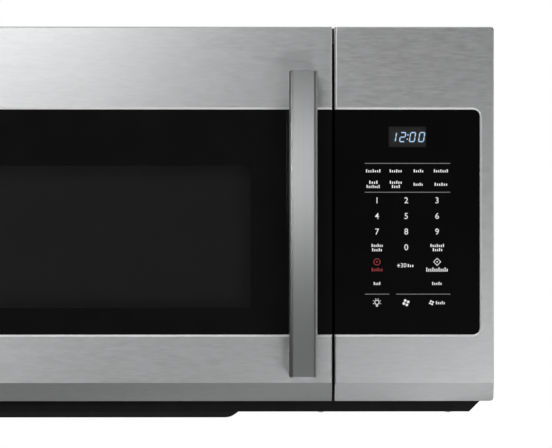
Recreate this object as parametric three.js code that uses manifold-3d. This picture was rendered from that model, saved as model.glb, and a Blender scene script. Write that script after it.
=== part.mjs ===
// Over-the-range microwave oven for a 762 mm (30 in) gap between wall cabinets, hung on a wall plate.
// Millimetres. X runs to the right, Y back to the wall and Z up. The origin is the centre of the wall
// face: Y is 0 at the wall and grows more negative towards the cook.
import * as THREE from "three";
import { mergeVertices } from "three/addons/utils/BufferGeometryUtils.js";
import Module from "manifold-3d";

const wasm = await Module();
wasm.setup();

// ---------------------------------------------------------------------------------------------
// Driving dimensions
// ---------------------------------------------------------------------------------------------
const CLEAR = 0.3; // between pieces that touch or seat on each other
const SHEET = 1.2; // outer sheet metal
const WALL = 1.5; // pressed and moulded inner walls

// Front, seen from the kitchen
const WIDTH = 759;
const FRONT_TOP = 205;
const FRONT_HEIGHT = 393;
const FACE_DEPTH = 395; // wall to the face of the door
const TOP_BAND = 86.8; // steel above the black glass
const BOTTOM_BAND = 69.9; // steel below the black glass, fold included
const SIDE_BAND = 14.7;
const FOLD_HEIGHT = 19.3; // lower strip that leans back
const FOLD_SETBACK = 9;
const LIP = 1.8; // bright chamfer round the glass
const RETURN_DEPTH = 22; // steel edge, front to back
const CORNER = 4; // outer corners of the front
const GLASS_CORNER = 8;
const GLASS = 4;
const GLASS_OVERLAP = 6; // glass held behind the steel
const PANEL_WIDTH = 167;
const FRONT_GAP = 3; // between the door and the control panel

// Door
const DOOR_THICKNESS = 38;
const TRAY_TOP_INSET = 15; // door tray below the top of the steel
const TRAY_BOTTOM_INSET = 13;
const WINDOW_WIDTH = 424;
const WINDOW_HEIGHT = 150;
const CHOKE_WIDTH = 22; // microwave seal, all round the cavity opening
const CHOKE_DEPTH = 11;
const CHOKE_PROUD = 2;
const CHOKE_LAND = 10; // seal cover's inner edge to the window
const DOOR_GAP = 4; // seal cover to the front plate
const HINGE_INSET = 8; // door's left edge to the hinge axis
const HINGE_SETBACK = 6; // door's back to the hinge axis
const PIN_RADIUS = 3;

// Handle
const HANDLE_WIDTH = 29.5;
const HANDLE_LENGTH = 320;
const HANDLE_THICKNESS = 12;
const HANDLE_EDGE = 4;
const HANDLE_CLEARANCE = 30; // finger room behind the bar
const HANDLE_INSET = 31.5; // handle's centre line to the door's right edge
const HANDLE_DROP = 2; // handle's middle below the glass's middle
const POST_HEIGHT = 41;

// Oven cavity
const CAVITY_INSET = 37.5; // cavity's right wall to the door's right edge
const CAVITY_LEFT_INSET = 31.5; // cavity's left wall to the front's left side
const CAVITY_RISE = 50; // cavity's floor above the front's bottom
const CAVITY_CORNER = 12;
const CAVITY_BACK_GAP = 2.8; // cavity's back to the case back

// Case
const STANDOFF = 10; // room for the wall plate behind the case
const PLATE = 1.5; // front plate
const CASE_RISE = 2; // case top above the front's top
const CASE_INSET = 1.5; // case side inside the front's side
const CASE_CORNER = 4;
const PAN_LIP = 9; // pan's upper edge above the front's bottom
const PAN_HEIGHT = 21.5;
const DROP_DEPTH = 8.5; // pressed-down middle of the pan
const DROP_WIDTH = 386;
const DROP_FRONT = 49; // drop behind the pan's front
const DROP_LENGTH = 238;
const DROP_CORNER = 6;
const GRILLE_DEPTH = 45;
const GRILLE_THICKNESS = 2.5;
const GRILLE_EDGE = 4;
const GRILLE_ROWS = 5;
const GRILLE_BAYS = 8;
const GRILLE_RIB = 3;
const SLAT_THICKNESS = 1.6;
const SLAT_LEAN = 1;
const CHARCOAL_WIDTH = 300;
const CHARCOAL_THICKNESS = 10;
const CHARCOAL_EDGE = 6;
const GLAND_RADIUS = 11;
const GLAND_INSET = 78; // gland to the case's right side
const GLAND_DEPTH = 60; // wall to the gland

// Wall plate
const WALL_PLATE_INSET = 28; // plate's ends inside the case's sides
const WALL_PLATE_DROP = 17; // plate's top below the case's top
const WALL_PLATE_RISE = 4; // plate's bottom above the pan's upper edge
const WALL_PAD = 32; // raised pads that hold the case off the wall
const WALL_WINDOWS = 6;
const WALL_WINDOW = 64;
const WALL_WINDOW_PITCH = 104;
const WALL_STUDS = 406.4; // wall studs 16 in apart
const HOOK_TAB = 30; // hooks that the oven hangs on
const HOOK_SPREAD = 250;
const HOOK_RISE = 15; // hooks above the plate's bottom

// Control panel
const DISPLAY_WIDTH = 46;
const DISPLAY_HEIGHT = 26;
const DISPLAY_DEPTH = 8;
const DISPLAY_INSET = 75.5; // control panel's left edge to the display's middle
const DISPLAY_DROP = 29.2; // glass's top to the display's middle
const BOARD = 1.6;
const BOARD_WIDTH = 136;
const BOARD_HEIGHT = 210;
const BOARD_POST = 4;
const BAY_EDGE = 14; // front plate left round the bay behind the control panel

// Turntable
const TRAY_RADIUS = 160;
const TRAY_GLASS = 5;
const TRAY_RIM = 14;
const TRACK_RADIUS = 125;
const TRACK_DEPTH = 2;
const ROLLER_RADIUS = 8;
const ROLLER_WIDTH = 9;
const RING_RADIUS = 95;
const RING_SECTION = 6;
const AXLE_RADIUS = 2.4;
const SHAFT_RADIUS = 3.5;
const COUPLER_RADIUS = 20;
const COUPLER_ARM = 7;
const COUPLER_THICKNESS = 3;
const TRACK_ROOM = 1.5; // roller to the track's sides
const SHAFT_ROOM = 1;

// Microwave source and cavity wall
const GUIDE_Y = -215;
const GUIDE_RISE = 40.5; // above the cavity's middle
const GUIDE_LENGTH = 96;
const GUIDE_HEIGHT = 78;
const GUIDE_DEPTH = 26;
const PORT_LENGTH = 76;
const PORT_HEIGHT = 50;
const PORT_COVER = 8; // mica past the port's edges
const ANTENNA_RADIUS = 8;
const MAGNETRON_DEPTH = 62;
const MAGNETRON_WIDTH = 84;
const MAGNETRON_HEIGHT = 72;
const HOLE_RADIUS = 2.2;
const HOLE_PITCH = 7;
const AIR_Y = -120; // wall holes for the air and the lamp

// Electrical parts beside the cavity
const TRANSFORMER_INSET = 102; // transformer's middle to the case's right side
const TRANSFORMER_Y = -215;
const CORE_WIDTH = 66;
const CORE_LENGTH = 84;
const CORE_HEIGHT = 76;
const COIL_WIDTH = 48;
const COIL_HEIGHT = 48;
const COIL_OVERHANG = 14; // winding past each end of the core
const FOOT_WIDTH = 96;
const FOOT_THICKNESS = 3;
const CAPACITOR_INSET = 128;
const CAPACITOR_Y = -110;
const CAPACITOR_WIDTH = 54;
const CAPACITOR_DEPTH = 32;
const CAPACITOR_HEIGHT = 84;
const TERMINAL_HEIGHT = 12;
const NOISE_INSET = 68;
const NOISE_DROP = 87; // case top to the noise filter's middle
const NOISE_WIDTH = 64;
const NOISE_HEIGHT = 48;
const NOISE_STANDOFF = 6.4;
const FAN_Y = -95;
const FAN_RISE = 30.5; // above the cavity's middle
const FAN_RADIUS = 52;
const FAN_SHAFT = 3;
const FAN_SEAT = 12; // shaft in the motor's bearing
const FAN_BLADES = 5;
const FAN_PITCH = 0.5;
const SHROUD_HEIGHT = 150;

// Vent blower
const WHEEL_RADIUS = 36;
const WHEEL_LENGTH = 78;
const BLADE_COUNT = 20;
const BLADE_DEPTH = 7;
const BLADE_THICKNESS = 1.2;
const BLOWER_SHAFT = 4;
const MOTOR_RADIUS = 34;
const MOTOR_BAY = 90;
const MOTOR_LENGTH = 62;
const BLOWER_HUB = 9;
const SCROLL_TIGHT = 41; // scroll radius at its tongue
const SCROLL_WIDE = 47; // scroll radius at its outlet
const SCROLL_OUTLET = 88; // blower axis to the outlet's mouth
const BLOWER_DEPTH = 78; // wall to the blower's axis

// Grease filters
const FILTER_WIDTH = 127;
const FILTER_LENGTH = 193;
const FILTER_THICKNESS = 8;
const FILTER_SPREAD = 113.5; // drop's centre to a filter's centre
const FILTER_LEDGE = 6; // filter held on the pan, front and back
const FILTER_SHIFT = 3; // filters forward of the drop's middle

// Cooktop lamp
const DROP_LEAN = 1.3; // how far the drop's ends lean out for each millimetre up
const LAMP_SETBACK = 45; // drop's front to the lamp
const LAMP_OPENING = 44;
const LENS_THICKNESS = 1.5;
const LENS_LEDGE = 5; // lens past the pan's opening

// Latch
const KEY_THICKNESS = 4;
const KEY_DEPTH = 14;
const KEY_TRAVEL = 4;
const HOOK_HEIGHT = 9;
const HOOK_NOSE = 5;
const HOOK_REACH = 22; // past the front plate
const HOOK_ABOVE = 90.5; // upper hook above the cavity's middle
const HOOK_BELOW = 79.5; // lower hook below it
const LATCH_ROOM = 1.5; // hook to the slot's sides
const LATCH_WIDTH = 26;
const SWITCH_GAP = 5; // hook's tip to the back of the latch body
const PLUNGER = 3.2;
const PLUNGER_TRAVEL = 1.5;

// ---------------------------------------------------------------------------------------------
// Places worked out from the driving dimensions
// ---------------------------------------------------------------------------------------------
const HALF = WIDTH / 2;
const FRONT_BOTTOM = FRONT_TOP - FRONT_HEIGHT;
const GLASS_TOP = FRONT_TOP - TOP_BAND;
const GLASS_BOTTOM = FRONT_BOTTOM + BOTTOM_BAND;
const FOLD = FRONT_BOTTOM + FOLD_HEIGHT;
const FACE = -FACE_DEPTH;
const SKIN_BACK = FACE + RETURN_DEPTH;
const GLASS_FACE = FACE + SHEET + CLEAR;
const GLASS_BACK = GLASS_FACE + GLASS;
const TRAY_FRONT = GLASS_BACK + CLEAR;
const DOOR_BACK = FACE + DOOR_THICKNESS;
const CHOKE_FACE = DOOR_BACK + CHOKE_PROUD;
const PLATE_FACE = CHOKE_FACE + DOOR_GAP;
const PLATE_BACK = PLATE_FACE + PLATE;
const CASE_FRONT = PLATE_BACK + CLEAR;
const BACK_FACE = -STANDOFF;
const CASE_BACK = BACK_FACE - SHEET - CLEAR;
const DOOR_WIDTH = WIDTH - PANEL_WIDTH - FRONT_GAP;
const DOOR_RIGHT = -HALF + DOOR_WIDTH;
const PANEL_LEFT = HALF - PANEL_WIDTH;
const CASE_SIDE = HALF - CASE_INSET;
const TRAY_TOP = FRONT_TOP - TRAY_TOP_INSET;
const TRAY_BOTTOM = FRONT_BOTTOM + TRAY_BOTTOM_INSET;
const HINGE_X = -HALF + HINGE_INSET;
const HINGE_Y = DOOR_BACK - HINGE_SETBACK;

const CASE_TOP = FRONT_TOP + CASE_RISE;
const PAN_TOP = FRONT_BOTTOM + PAN_LIP;
const PAN_BOTTOM = PAN_TOP - PAN_HEIGHT;
const GLASS_MIDDLE = (GLASS_TOP + GLASS_BOTTOM) / 2;

// The blower's scrolls take up the whole height between the cavity and the case's top.
const BLOWER_BAY = 2 * (SCROLL_WIDE + WALL + CLEAR + SHEET);
const CAVITY_RIGHT = DOOR_RIGHT - CAVITY_INSET;
const CAVITY_LEFT = -HALF + CAVITY_LEFT_INSET;
const CAVITY_X = (CAVITY_LEFT + CAVITY_RIGHT) / 2;
const CAVITY_FLOOR = FRONT_BOTTOM + CAVITY_RISE;
const CAVITY_CEILING = CASE_TOP - BLOWER_BAY;
const CAVITY_REAR = CASE_BACK - CAVITY_BACK_GAP - SHEET;
const CAVITY_Y = (CAVITY_REAR + CASE_FRONT) / 2;
const CAVITY_Z = (CAVITY_FLOOR + CAVITY_CEILING) / 2;

const DROP_BOTTOM = PAN_BOTTOM - DROP_DEPTH;
const DROP_FRONT_Y = CASE_FRONT + DROP_FRONT;
const DROP_BACK_Y = DROP_FRONT_Y + DROP_LENGTH;
const KEY_X = (CAVITY_RIGHT + CHOKE_WIDTH + WALL + DOOR_RIGHT - SHEET - CLEAR - WALL) / 2;
const KEY_BACK = DOOR_BACK - WALL - LATCH_ROOM;
const HOOK_TIP = PLATE_BACK + HOOK_REACH;
const HOOK_UPPER = CAVITY_Z + HOOK_ABOVE;
const HOOK_LOWER = CAVITY_Z - HOOK_BELOW;
const GUIDE_Z = CAVITY_Z + GUIDE_RISE;

// ---------------------------------------------------------------------------------------------
// Making solids
// ---------------------------------------------------------------------------------------------
const X_AXIS = new THREE.Vector3(1, 0, 0);
const Y_AXIS = new THREE.Vector3(0, 1, 0);
const Z_AXIS = new THREE.Vector3(0, 0, 1);

// A closed geometry as a solid that can be joined and cut.
function solid(geometry) {
  const bare = geometry.index ? geometry.toNonIndexed() : geometry.clone();
  bare.deleteAttribute("normal");
  bare.deleteAttribute("uv");
  const merged = mergeVertices(bare, 1e-4);
  const vertProperties = merged.attributes.position.array;
  const triVerts = new Uint32Array(merged.index.array);
  return new wasm.Manifold(new wasm.Mesh({ numProp: 3, vertProperties, triVerts }));
}

const join = (...solids) => solids.reduce((whole, next) => whole.add(next));
const cut = (whole, ...tools) => tools.reduce((left, tool) => left.subtract(tool), whole);

// A box between two corners.
function block(x0, x1, y0, y1, z0, z1) {
  const box = new THREE.BoxGeometry(Math.abs(x1 - x0), Math.abs(y1 - y0), Math.abs(z1 - z0));
  return solid(box.translate((x0 + x1) / 2, (y0 + y1) / 2, (z0 + z1) / 2));
}

// An outline from [across, up, corner radius] points.
function outline(points) {
  const shape = new THREE.Shape();
  points.forEach(([x, y, radius = 0], i) => {
    const here = new THREE.Vector2(x, y);
    const before = points[(i + points.length - 1) % points.length];
    const after = points[(i + 1) % points.length];
    const towards = ([a, b]) => new THREE.Vector2(a, b).sub(here).setLength(radius || 1e-9).add(here);
    const start = radius ? towards(before) : here;
    if (i === 0) shape.moveTo(start.x, start.y);
    else shape.lineTo(start.x, start.y);
    const end = towards(after);
    if (radius) shape.quadraticCurveTo(here.x, here.y, end.x, end.y);
  });
  shape.closePath();
  return shape;
}

const rectangle = (x0, x1, y0, y1, radius = 0) =>
  outline([[x0, y0, radius], [x1, y0, radius], [x1, y1, radius], [x0, y1, radius]]);

function extrude(shape, depth, { bevel = 0, bevelDepth = bevel, grow = 0, steps = 4 } = {}) {
  return new THREE.ExtrudeGeometry(shape, {
    depth: depth - (grow ? 0 : 2 * bevelDepth),
    curveSegments: steps,
    bevelEnabled: bevel > 0,
    bevelSize: bevel,
    bevelThickness: bevelDepth,
    bevelOffset: grow ? 0 : -bevel,
    bevelSegments: 1,
  }).translate(0, 0, grow ? 0 : bevelDepth);
}

// An outline in X and Z, running forwards from y0 to y1.
const alongY = (shape, y0, y1, options) =>
  solid(extrude(shape, y0 - y1, options).rotateX(Math.PI / 2).translate(0, y0, 0));

// An outline in Y and Z, running from x0 to x1.
function alongX(shape, x0, x1, options) {
  const turn = new THREE.Matrix4().makeBasis(Y_AXIS, Z_AXIS, X_AXIS);
  return solid(extrude(shape, x1 - x0, options).applyMatrix4(turn).translate(x0, 0, 0));
}

// An outline in X and Y, running up from z0 to z1.
const alongZ = (shape, z0, z1, options) => solid(extrude(shape, z1 - z0, options).translate(0, 0, z0));

// A round bar between two points.
function rod(radius, from, to, sides = 24, endRadius = radius) {
  const start = new THREE.Vector3(...from);
  const way = new THREE.Vector3(...to).sub(start);
  const bar = new THREE.CylinderGeometry(endRadius, radius, way.length(), sides);
  bar.applyQuaternion(new THREE.Quaternion().setFromUnitVectors(Y_AXIS, way.clone().normalize()));
  return solid(bar.translate(...start.addScaledVector(way, 0.5).toArray()));
}

// A profile of [radius, height] points, turned round Z.
function turned(profile, sides = 48) {
  const points = profile.map(([r, h]) => new THREE.Vector2(r, h));
  return solid(new THREE.LatheGeometry(points, sides).rotateX(Math.PI / 2));
}

// A solid as a drawable mesh.
function piece(name, made, material, place = [0, 0, 0], turn = [0, 0, 0]) {
  const data = made.getMesh();
  const geometry = new THREE.BufferGeometry();
  geometry.setAttribute("position", new THREE.BufferAttribute(data.vertProperties, 3));
  geometry.setIndex(new THREE.BufferAttribute(data.triVerts, 1));
  geometry.computeVertexNormals();
  const mesh = new THREE.Mesh(geometry, material);
  mesh.name = name;
  mesh.position.set(...place);
  mesh.rotation.set(...turn);
  return mesh;
}

function group(place, ...children) {
  const made = new THREE.Group();
  made.position.set(...place);
  made.add(...children);
  return made;
}

// ---------------------------------------------------------------------------------------------
// Materials
// ---------------------------------------------------------------------------------------------
const finish = (color, metalness, roughness, more = {}) =>
  new THREE.MeshStandardMaterial({ color, metalness, roughness, flatShading: true, ...more });

const STAINLESS = finish(0xa9abae, 0.95, 0.32);
const HANDLE_STEEL = finish(0x9b9da0, 0.95, 0.28);
const BLACK_GLASS = finish(0x0b0b0c, 0, 0.06);
const CLEAR_GLASS = finish(0xbfc8c6, 0, 0.05, { transparent: true, opacity: 0.4 });
const BLACK_PAINT = finish(0x151516, 0.1, 0.45);
const BLACK_PLASTIC = finish(0x1a1a1b, 0, 0.5);
const GALVANISED = finish(0x8f9497, 0.9, 0.42);
const CAVITY_ENAMEL = finish(0x8d8f8c, 0.05, 0.5);
const SCREEN_STEEL = finish(0x2b2c2e, 0.4, 0.5);
const ALUMINIUM = finish(0xb9bdbf, 0.95, 0.38);
const WHITE_PLASTIC = finish(0xe6e4dc, 0, 0.55);
const IRON_CORE = finish(0x4c4f52, 0.7, 0.55);
const CIRCUIT_BOARD = finish(0x2c5a38, 0, 0.5);
const MICA = finish(0xc9b99a, 0, 0.6);
const CHARCOAL = finish(0x222324, 0, 0.9);
const LENS = finish(0xe9edee, 0, 0.4, { transparent: true, opacity: 0.75 });
const SPRING_STEEL = finish(0x9a9d9f, 0.95, 0.3);

// ---------------------------------------------------------------------------------------------
// Front: a steel skin and a black glass for the door, and the same pair for the control panel
// ---------------------------------------------------------------------------------------------

// Both skins are drawn from the front's outer edge inwards: side is -1 for the door, 1 for the panel.
const across = (side, inwards) => side * (HALF - inwards);

function skinBody(side, width, inset) {
  const face = outline([
    [across(side, inset), FRONT_BOTTOM + inset, CORNER - inset],
    [across(side, width - inset), FRONT_BOTTOM + inset],
    [across(side, width - inset), FRONT_TOP - inset],
    [across(side, inset), FRONT_TOP - inset, CORNER - inset],
  ]);
  const lean = Math.atan2(FOLD_SETBACK, FOLD_HEIGHT);
  const push = inset / Math.cos(lean);
  const edge = outline([
    [FACE + inset, FRONT_TOP - inset],
    [FACE + inset, FOLD + (push - inset) / Math.tan(lean)],
    [FACE + FOLD_SETBACK + push - inset * Math.tan(lean), FRONT_BOTTOM + inset],
    [SKIN_BACK + inset, FRONT_BOTTOM + inset],
    [SKIN_BACK + inset, FRONT_TOP - inset],
  ]);
  const fronts = alongY(face, SKIN_BACK + RETURN_DEPTH, FACE + inset, { bevel: SHEET, steps: 5 });
  return fronts.intersect(alongX(edge, -WIDTH, WIDTH));
}

function openingShape(side, width, grow) {
  return outline([
    [across(side, SIDE_BAND - grow), GLASS_BOTTOM - grow, GLASS_CORNER],
    [across(side, width + 2 * SIDE_BAND), GLASS_BOTTOM - grow],
    [across(side, width + 2 * SIDE_BAND), GLASS_TOP + grow],
    [across(side, SIDE_BAND - grow), GLASS_TOP + grow, GLASS_CORNER],
  ]);
}

function frontSkin(name, side, width) {
  const opening = openingShape(side, width, 0);
  const through = alongY(opening, SKIN_BACK + SHEET, FACE - SHEET, { steps: 5 });
  const flare = alongY(opening, FACE, FACE - SIDE_BAND, {
    bevel: LIP, bevelDepth: SHEET, grow: 1, steps: 5,
  });
  const shell = cut(skinBody(side, width, 0), skinBody(side, width, SHEET), through, flare);
  return piece(name, shell, STAINLESS);
}

function frontGlass(name, side, width) {
  const held = width - 2 * SHEET - CLEAR;
  const shape = outline([
    [across(side, SIDE_BAND - GLASS_OVERLAP), GLASS_BOTTOM - GLASS_OVERLAP, GLASS_CORNER],
    [across(side, held), GLASS_BOTTOM - GLASS_OVERLAP],
    [across(side, held), GLASS_BOTTOM + CLEAR],
    [across(side, width), GLASS_BOTTOM + CLEAR],
    [across(side, width), GLASS_TOP - CLEAR],
    [across(side, held), GLASS_TOP - CLEAR],
    [across(side, held), GLASS_TOP + GLASS_OVERLAP],
    [across(side, SIDE_BAND - GLASS_OVERLAP), GLASS_TOP + GLASS_OVERLAP, GLASS_CORNER],
  ]);
  return piece(name, alongY(shape, GLASS_BACK, GLASS_FACE, { steps: 5 }), BLACK_GLASS);
}

// ---------------------------------------------------------------------------------------------
// Door: pressed tray with the window, the microwave seal's channel, hinge bosses and latch guides
// ---------------------------------------------------------------------------------------------
const DOOR_TRAY = {
  left: -HALF + SHEET + CLEAR,
  right: DOOR_RIGHT - SHEET - CLEAR,
  bottom: TRAY_BOTTOM,
  top: TRAY_TOP,
};
const POCKET = {
  left: CAVITY_LEFT - CHOKE_WIDTH,
  right: CAVITY_RIGHT + CHOKE_WIDTH,
  bottom: CAVITY_FLOOR - CHOKE_WIDTH,
  top: CAVITY_CEILING + CHOKE_WIDTH,
  floor: DOOR_BACK - CHOKE_DEPTH,
};
const WINDOW_Z = CAVITY_Z;
const windowShape = (grow, radius) =>
  rectangle(
    CAVITY_X - WINDOW_WIDTH / 2 - grow, CAVITY_X + WINDOW_WIDTH / 2 + grow,
    WINDOW_Z - WINDOW_HEIGHT / 2 - grow, WINDOW_Z + WINDOW_HEIGHT / 2 + grow, radius,
  );
const BOSS_HEIGHT = 13;
const BOSS_REACH = 6.5; // boss beyond the hinge axis
const SPRING_ROOM = 29;
const KEY_TOP = HOOK_UPPER + HOOK_HEIGHT + 6;
const KEY_BOTTOM = HOOK_LOWER - 6;
const SHELF = 3;

// Height range that a hook needs in a slot: it rises over the catch as the door comes in.
const hookSlot = (z) => [z - LATCH_ROOM, z + HOOK_HEIGHT + KEY_TRAVEL + LATCH_ROOM];

function doorTray() {
  const { left, right, bottom, top } = DOOR_TRAY;
  const body = block(left, right, TRAY_FRONT, DOOR_BACK, bottom, top);
  const hollow = block(
    left + WALL, right - WALL, TRAY_FRONT - WALL, DOOR_BACK - WALL, bottom + WALL, top - WALL,
  );
  const pocketBody = block(
    POCKET.left - WALL, POCKET.right + WALL, POCKET.floor - WALL, DOOR_BACK - WALL / 2,
    POCKET.bottom - WALL, POCKET.top + WALL,
  );
  const pocket = block(
    POCKET.left, POCKET.right, POCKET.floor, DOOR_BACK + WALL, POCKET.bottom, POCKET.top,
  );
  const window = alongY(windowShape(0, 3), DOOR_BACK, TRAY_FRONT - WALL);
  const bosses = [top - BOSS_HEIGHT, bottom].map((z) =>
    block(left, HINGE_X + BOSS_REACH, HINGE_Y - BOSS_REACH, DOOR_BACK, z, z + BOSS_HEIGHT));
  const bores = [top - BOSS_HEIGHT + 2, bottom - 1].map((z) =>
    rod(PIN_RADIUS + CLEAR, [HINGE_X, HINGE_Y, z], [HINGE_X, HINGE_Y, z + BOSS_HEIGHT - 1], 16));
  const keySide = KEY_THICKNESS / 2 + CLEAR;
  const shelves = [KEY_BOTTOM - CLEAR - SHELF, KEY_TOP + SPRING_ROOM].map((z) =>
    block(POCKET.right, right, KEY_BACK - KEY_DEPTH - 2, DOOR_BACK, z, z + SHELF));
  const guides = [KEY_BOTTOM, HOOK_UPPER - 30].flatMap((z) => [
    block(POCKET.right, KEY_X - keySide, KEY_BACK - KEY_DEPTH, DOOR_BACK, z, z + 12),
    block(KEY_X + keySide, right, KEY_BACK - KEY_DEPTH, DOOR_BACK, z, z + 12),
  ]);
  const slots = [HOOK_UPPER, HOOK_LOWER].map((z) => {
    const [low, high] = hookSlot(z);
    const side = KEY_THICKNESS / 2 + LATCH_ROOM;
    return block(KEY_X - side, KEY_X + side, DOOR_BACK - WALL - 1, DOOR_BACK + 1, low - HOOK_NOSE, high);
  });
  const bare = cut(join(cut(body, hollow), pocketBody), pocket, window);
  const made = cut(join(bare, ...bosses, ...shelves, ...guides), ...bores, ...slots);
  return piece("door_tray", made, BLACK_PAINT);
}

// Moulded cover over the seal's channel: a flat rim with an outer and an inner skirt.
function chokeCover() {
  const outer = (grow) => rectangle(
    POCKET.left + CLEAR - grow, POCKET.right - CLEAR + grow,
    POCKET.bottom + CLEAR - grow, POCKET.top - CLEAR + grow, 4,
  );
  const solidRim = alongY(outer(0), CHOKE_FACE, POCKET.floor + CLEAR, { bevel: 0.8 });
  const channel = cut(
    alongY(outer(-WALL), CHOKE_FACE - 2, POCKET.floor - WALL),
    alongY(windowShape(CHOKE_LAND + WALL, 4), DOOR_BACK + WALL, POCKET.floor - 2 * WALL),
  );
  const middle = alongY(windowShape(CHOKE_LAND, 4), CHOKE_FACE + 1, POCKET.floor - WALL);
  return piece("choke_cover", cut(solidRim, channel, middle), BLACK_PLASTIC);
}

function doorWindow() {
  const screenBack = POCKET.floor - WALL - CLEAR;
  const screen = alongY(windowShape(CHOKE_LAND, 3), screenBack, screenBack - 0.8);
  const paneFront = POCKET.floor + CLEAR;
  const pane = alongY(windowShape(CHOKE_LAND - CLEAR, 4), paneFront + 2, paneFront);
  return [piece("window_screen", screen, SCREEN_STEEL), piece("inner_window", pane, CLEAR_GLASS)];
}

// Flat bar with softened edges on two arched posts.
function doorHandle() {
  const half = HANDLE_WIDTH / 2;
  const reach = HANDLE_CLEARANCE;
  const section = outline([
    [-half, -reach - CLEAR, 2], [half, -reach - CLEAR, 2],
    [half, -reach - HANDLE_THICKNESS, HANDLE_EDGE], [-half, -reach - HANDLE_THICKNESS, HANDLE_EDGE],
  ]);
  const bar = alongZ(section, -HANDLE_LENGTH / 2, HANDLE_LENGTH / 2, { bevel: 0.8, steps: 5 });
  const end = HANDLE_LENGTH / 2 - 0.5;
  const post = (side) => {
    const arch = outline([
      [-CLEAR, side * end, 2], [-reach, side * end, 2],
      [-reach, side * (end - POST_HEIGHT), 2], [-reach * 0.72, side * (end - POST_HEIGHT * 0.62), 8],
      [-CLEAR, side * (end - POST_HEIGHT * 0.9), 2],
    ]);
    return alongX(arch, -half + 1, half - 1, { steps: 4 });
  };
  const place = [DOOR_RIGHT - HANDLE_INSET, FACE, GLASS_MIDDLE - HANDLE_DROP];
  return group(
    place,
    piece("handle_bar", bar, HANDLE_STEEL),
    piece("handle_post_upper", post(1), HANDLE_STEEL),
    piece("handle_post_lower", post(-1), HANDLE_STEEL),
  );
}

// Latch key: a bar that slides up and down in the door, with two hooks that reach through the plate.
function latchKey() {
  const half = KEY_THICKNESS / 2;
  const bar = block(KEY_X - half, KEY_X + half, KEY_BACK - KEY_DEPTH, KEY_BACK, KEY_BOTTOM, KEY_TOP);
  const hooks = [HOOK_UPPER, HOOK_LOWER].map((z) => {
    const shape = outline([
      [KEY_BACK - 4, z], [HOOK_TIP - 12, z], [HOOK_TIP - 12, z - HOOK_NOSE + 1, 1],
      [HOOK_TIP - 8, z - HOOK_NOSE, 1], [HOOK_TIP, z + 1, 1], [HOOK_TIP, z + HOOK_HEIGHT, 2],
      [KEY_BACK - 4, z + HOOK_HEIGHT],
    ]);
    return alongX(shape, KEY_X - half, KEY_X + half, { steps: 2 });
  });
  return piece("latch_key", join(bar, ...hooks), WHITE_PLASTIC);
}

// Compression spring between the key and the upper shelf.
class Helix extends THREE.Curve {
  constructor(radius, turns, height, end) {
    super();
    Object.assign(this, { radius, turns, height, end });
  }

  getPoint(t, target = new THREE.Vector3()) {
    const length = this.height + 2 * this.end;
    const z = t * length;
    const wound = THREE.MathUtils.clamp((z - this.end) / this.height, 0, 1);
    const angle = 2 * Math.PI * this.turns * wound;
    return target.set(this.radius * Math.cos(angle), this.radius * Math.sin(angle), z);
  }
}

function latchSpring() {
  const wire = 0.5;
  const sides = 5;
  const turns = 5;
  const height = SPRING_ROOM - 2 * CLEAR;
  const section = outline(Array.from({ length: sides }, (_, i) => {
    const angle = (i * 2 * Math.PI) / sides;
    return [wire * Math.cos(angle), wire * Math.sin(angle)];
  }));
  const path = new Helix(3, turns, height - 4 * wire, 2 * wire);
  const coil = new THREE.ExtrudeGeometry(section, { extrudePath: path, steps: turns * 8 });
  const place = [KEY_X, KEY_BACK - KEY_DEPTH / 2, KEY_TOP + CLEAR];
  return piece("latch_spring", solid(coil), SPRING_STEEL, place);
}

// Hinge: a screwed flange, an arm that reaches over the door tray, and a pin. side is 1 above, -1 below.
function hinge(name, side) {
  const seat = (side > 0 ? TRAY_TOP : TRAY_BOTTOM) + side * CLEAR;
  const arm = 3;
  const half = 5;
  const plate = PLATE_FACE - CLEAR;
  const flange = block(
    HINGE_X - 2.5, HINGE_X + 24, plate - 2, plate, seat - side * 28, seat + side * arm,
  );
  const armBody = block(
    HINGE_X - half, HINGE_X + half, HINGE_Y, plate, seat, seat + side * arm,
  );
  const eye = rod(half, [HINGE_X, HINGE_Y, seat], [HINGE_X, HINGE_Y, seat + side * arm], 16);
  const pin = rod(
    PIN_RADIUS, [HINGE_X, HINGE_Y, seat + side], [HINGE_X, HINGE_Y, seat - side * 9], 16,
  );
  const screws = [8, 20].map((drop) => {
    const at = (y) => [HINGE_X + 17, y, seat - side * drop];
    return rod(2.2, at(plate - 3), at(plate + 1), 8);
  });
  return piece(name, cut(join(flange, armBody, eye, pin), ...screws), GALVANISED);
}

// ---------------------------------------------------------------------------------------------
// Control panel: moulded housing with the circuit board and the clock behind the glass
// ---------------------------------------------------------------------------------------------
const HOUSING = {
  left: PANEL_LEFT + SHEET + CLEAR,
  right: HALF - SHEET - CLEAR,
  back: PLATE_FACE - CLEAR,
};
const DISPLAY_X = PANEL_LEFT + DISPLAY_INSET;
const DISPLAY_Z = GLASS_TOP - DISPLAY_DROP;
const HOUSING_X = (HOUSING.left + HOUSING.right) / 2;
const BOARD_FRONT = TRAY_FRONT + DISPLAY_DEPTH + CLEAR;
const BOARD_BACK = BOARD_FRONT + BOARD;

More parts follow.
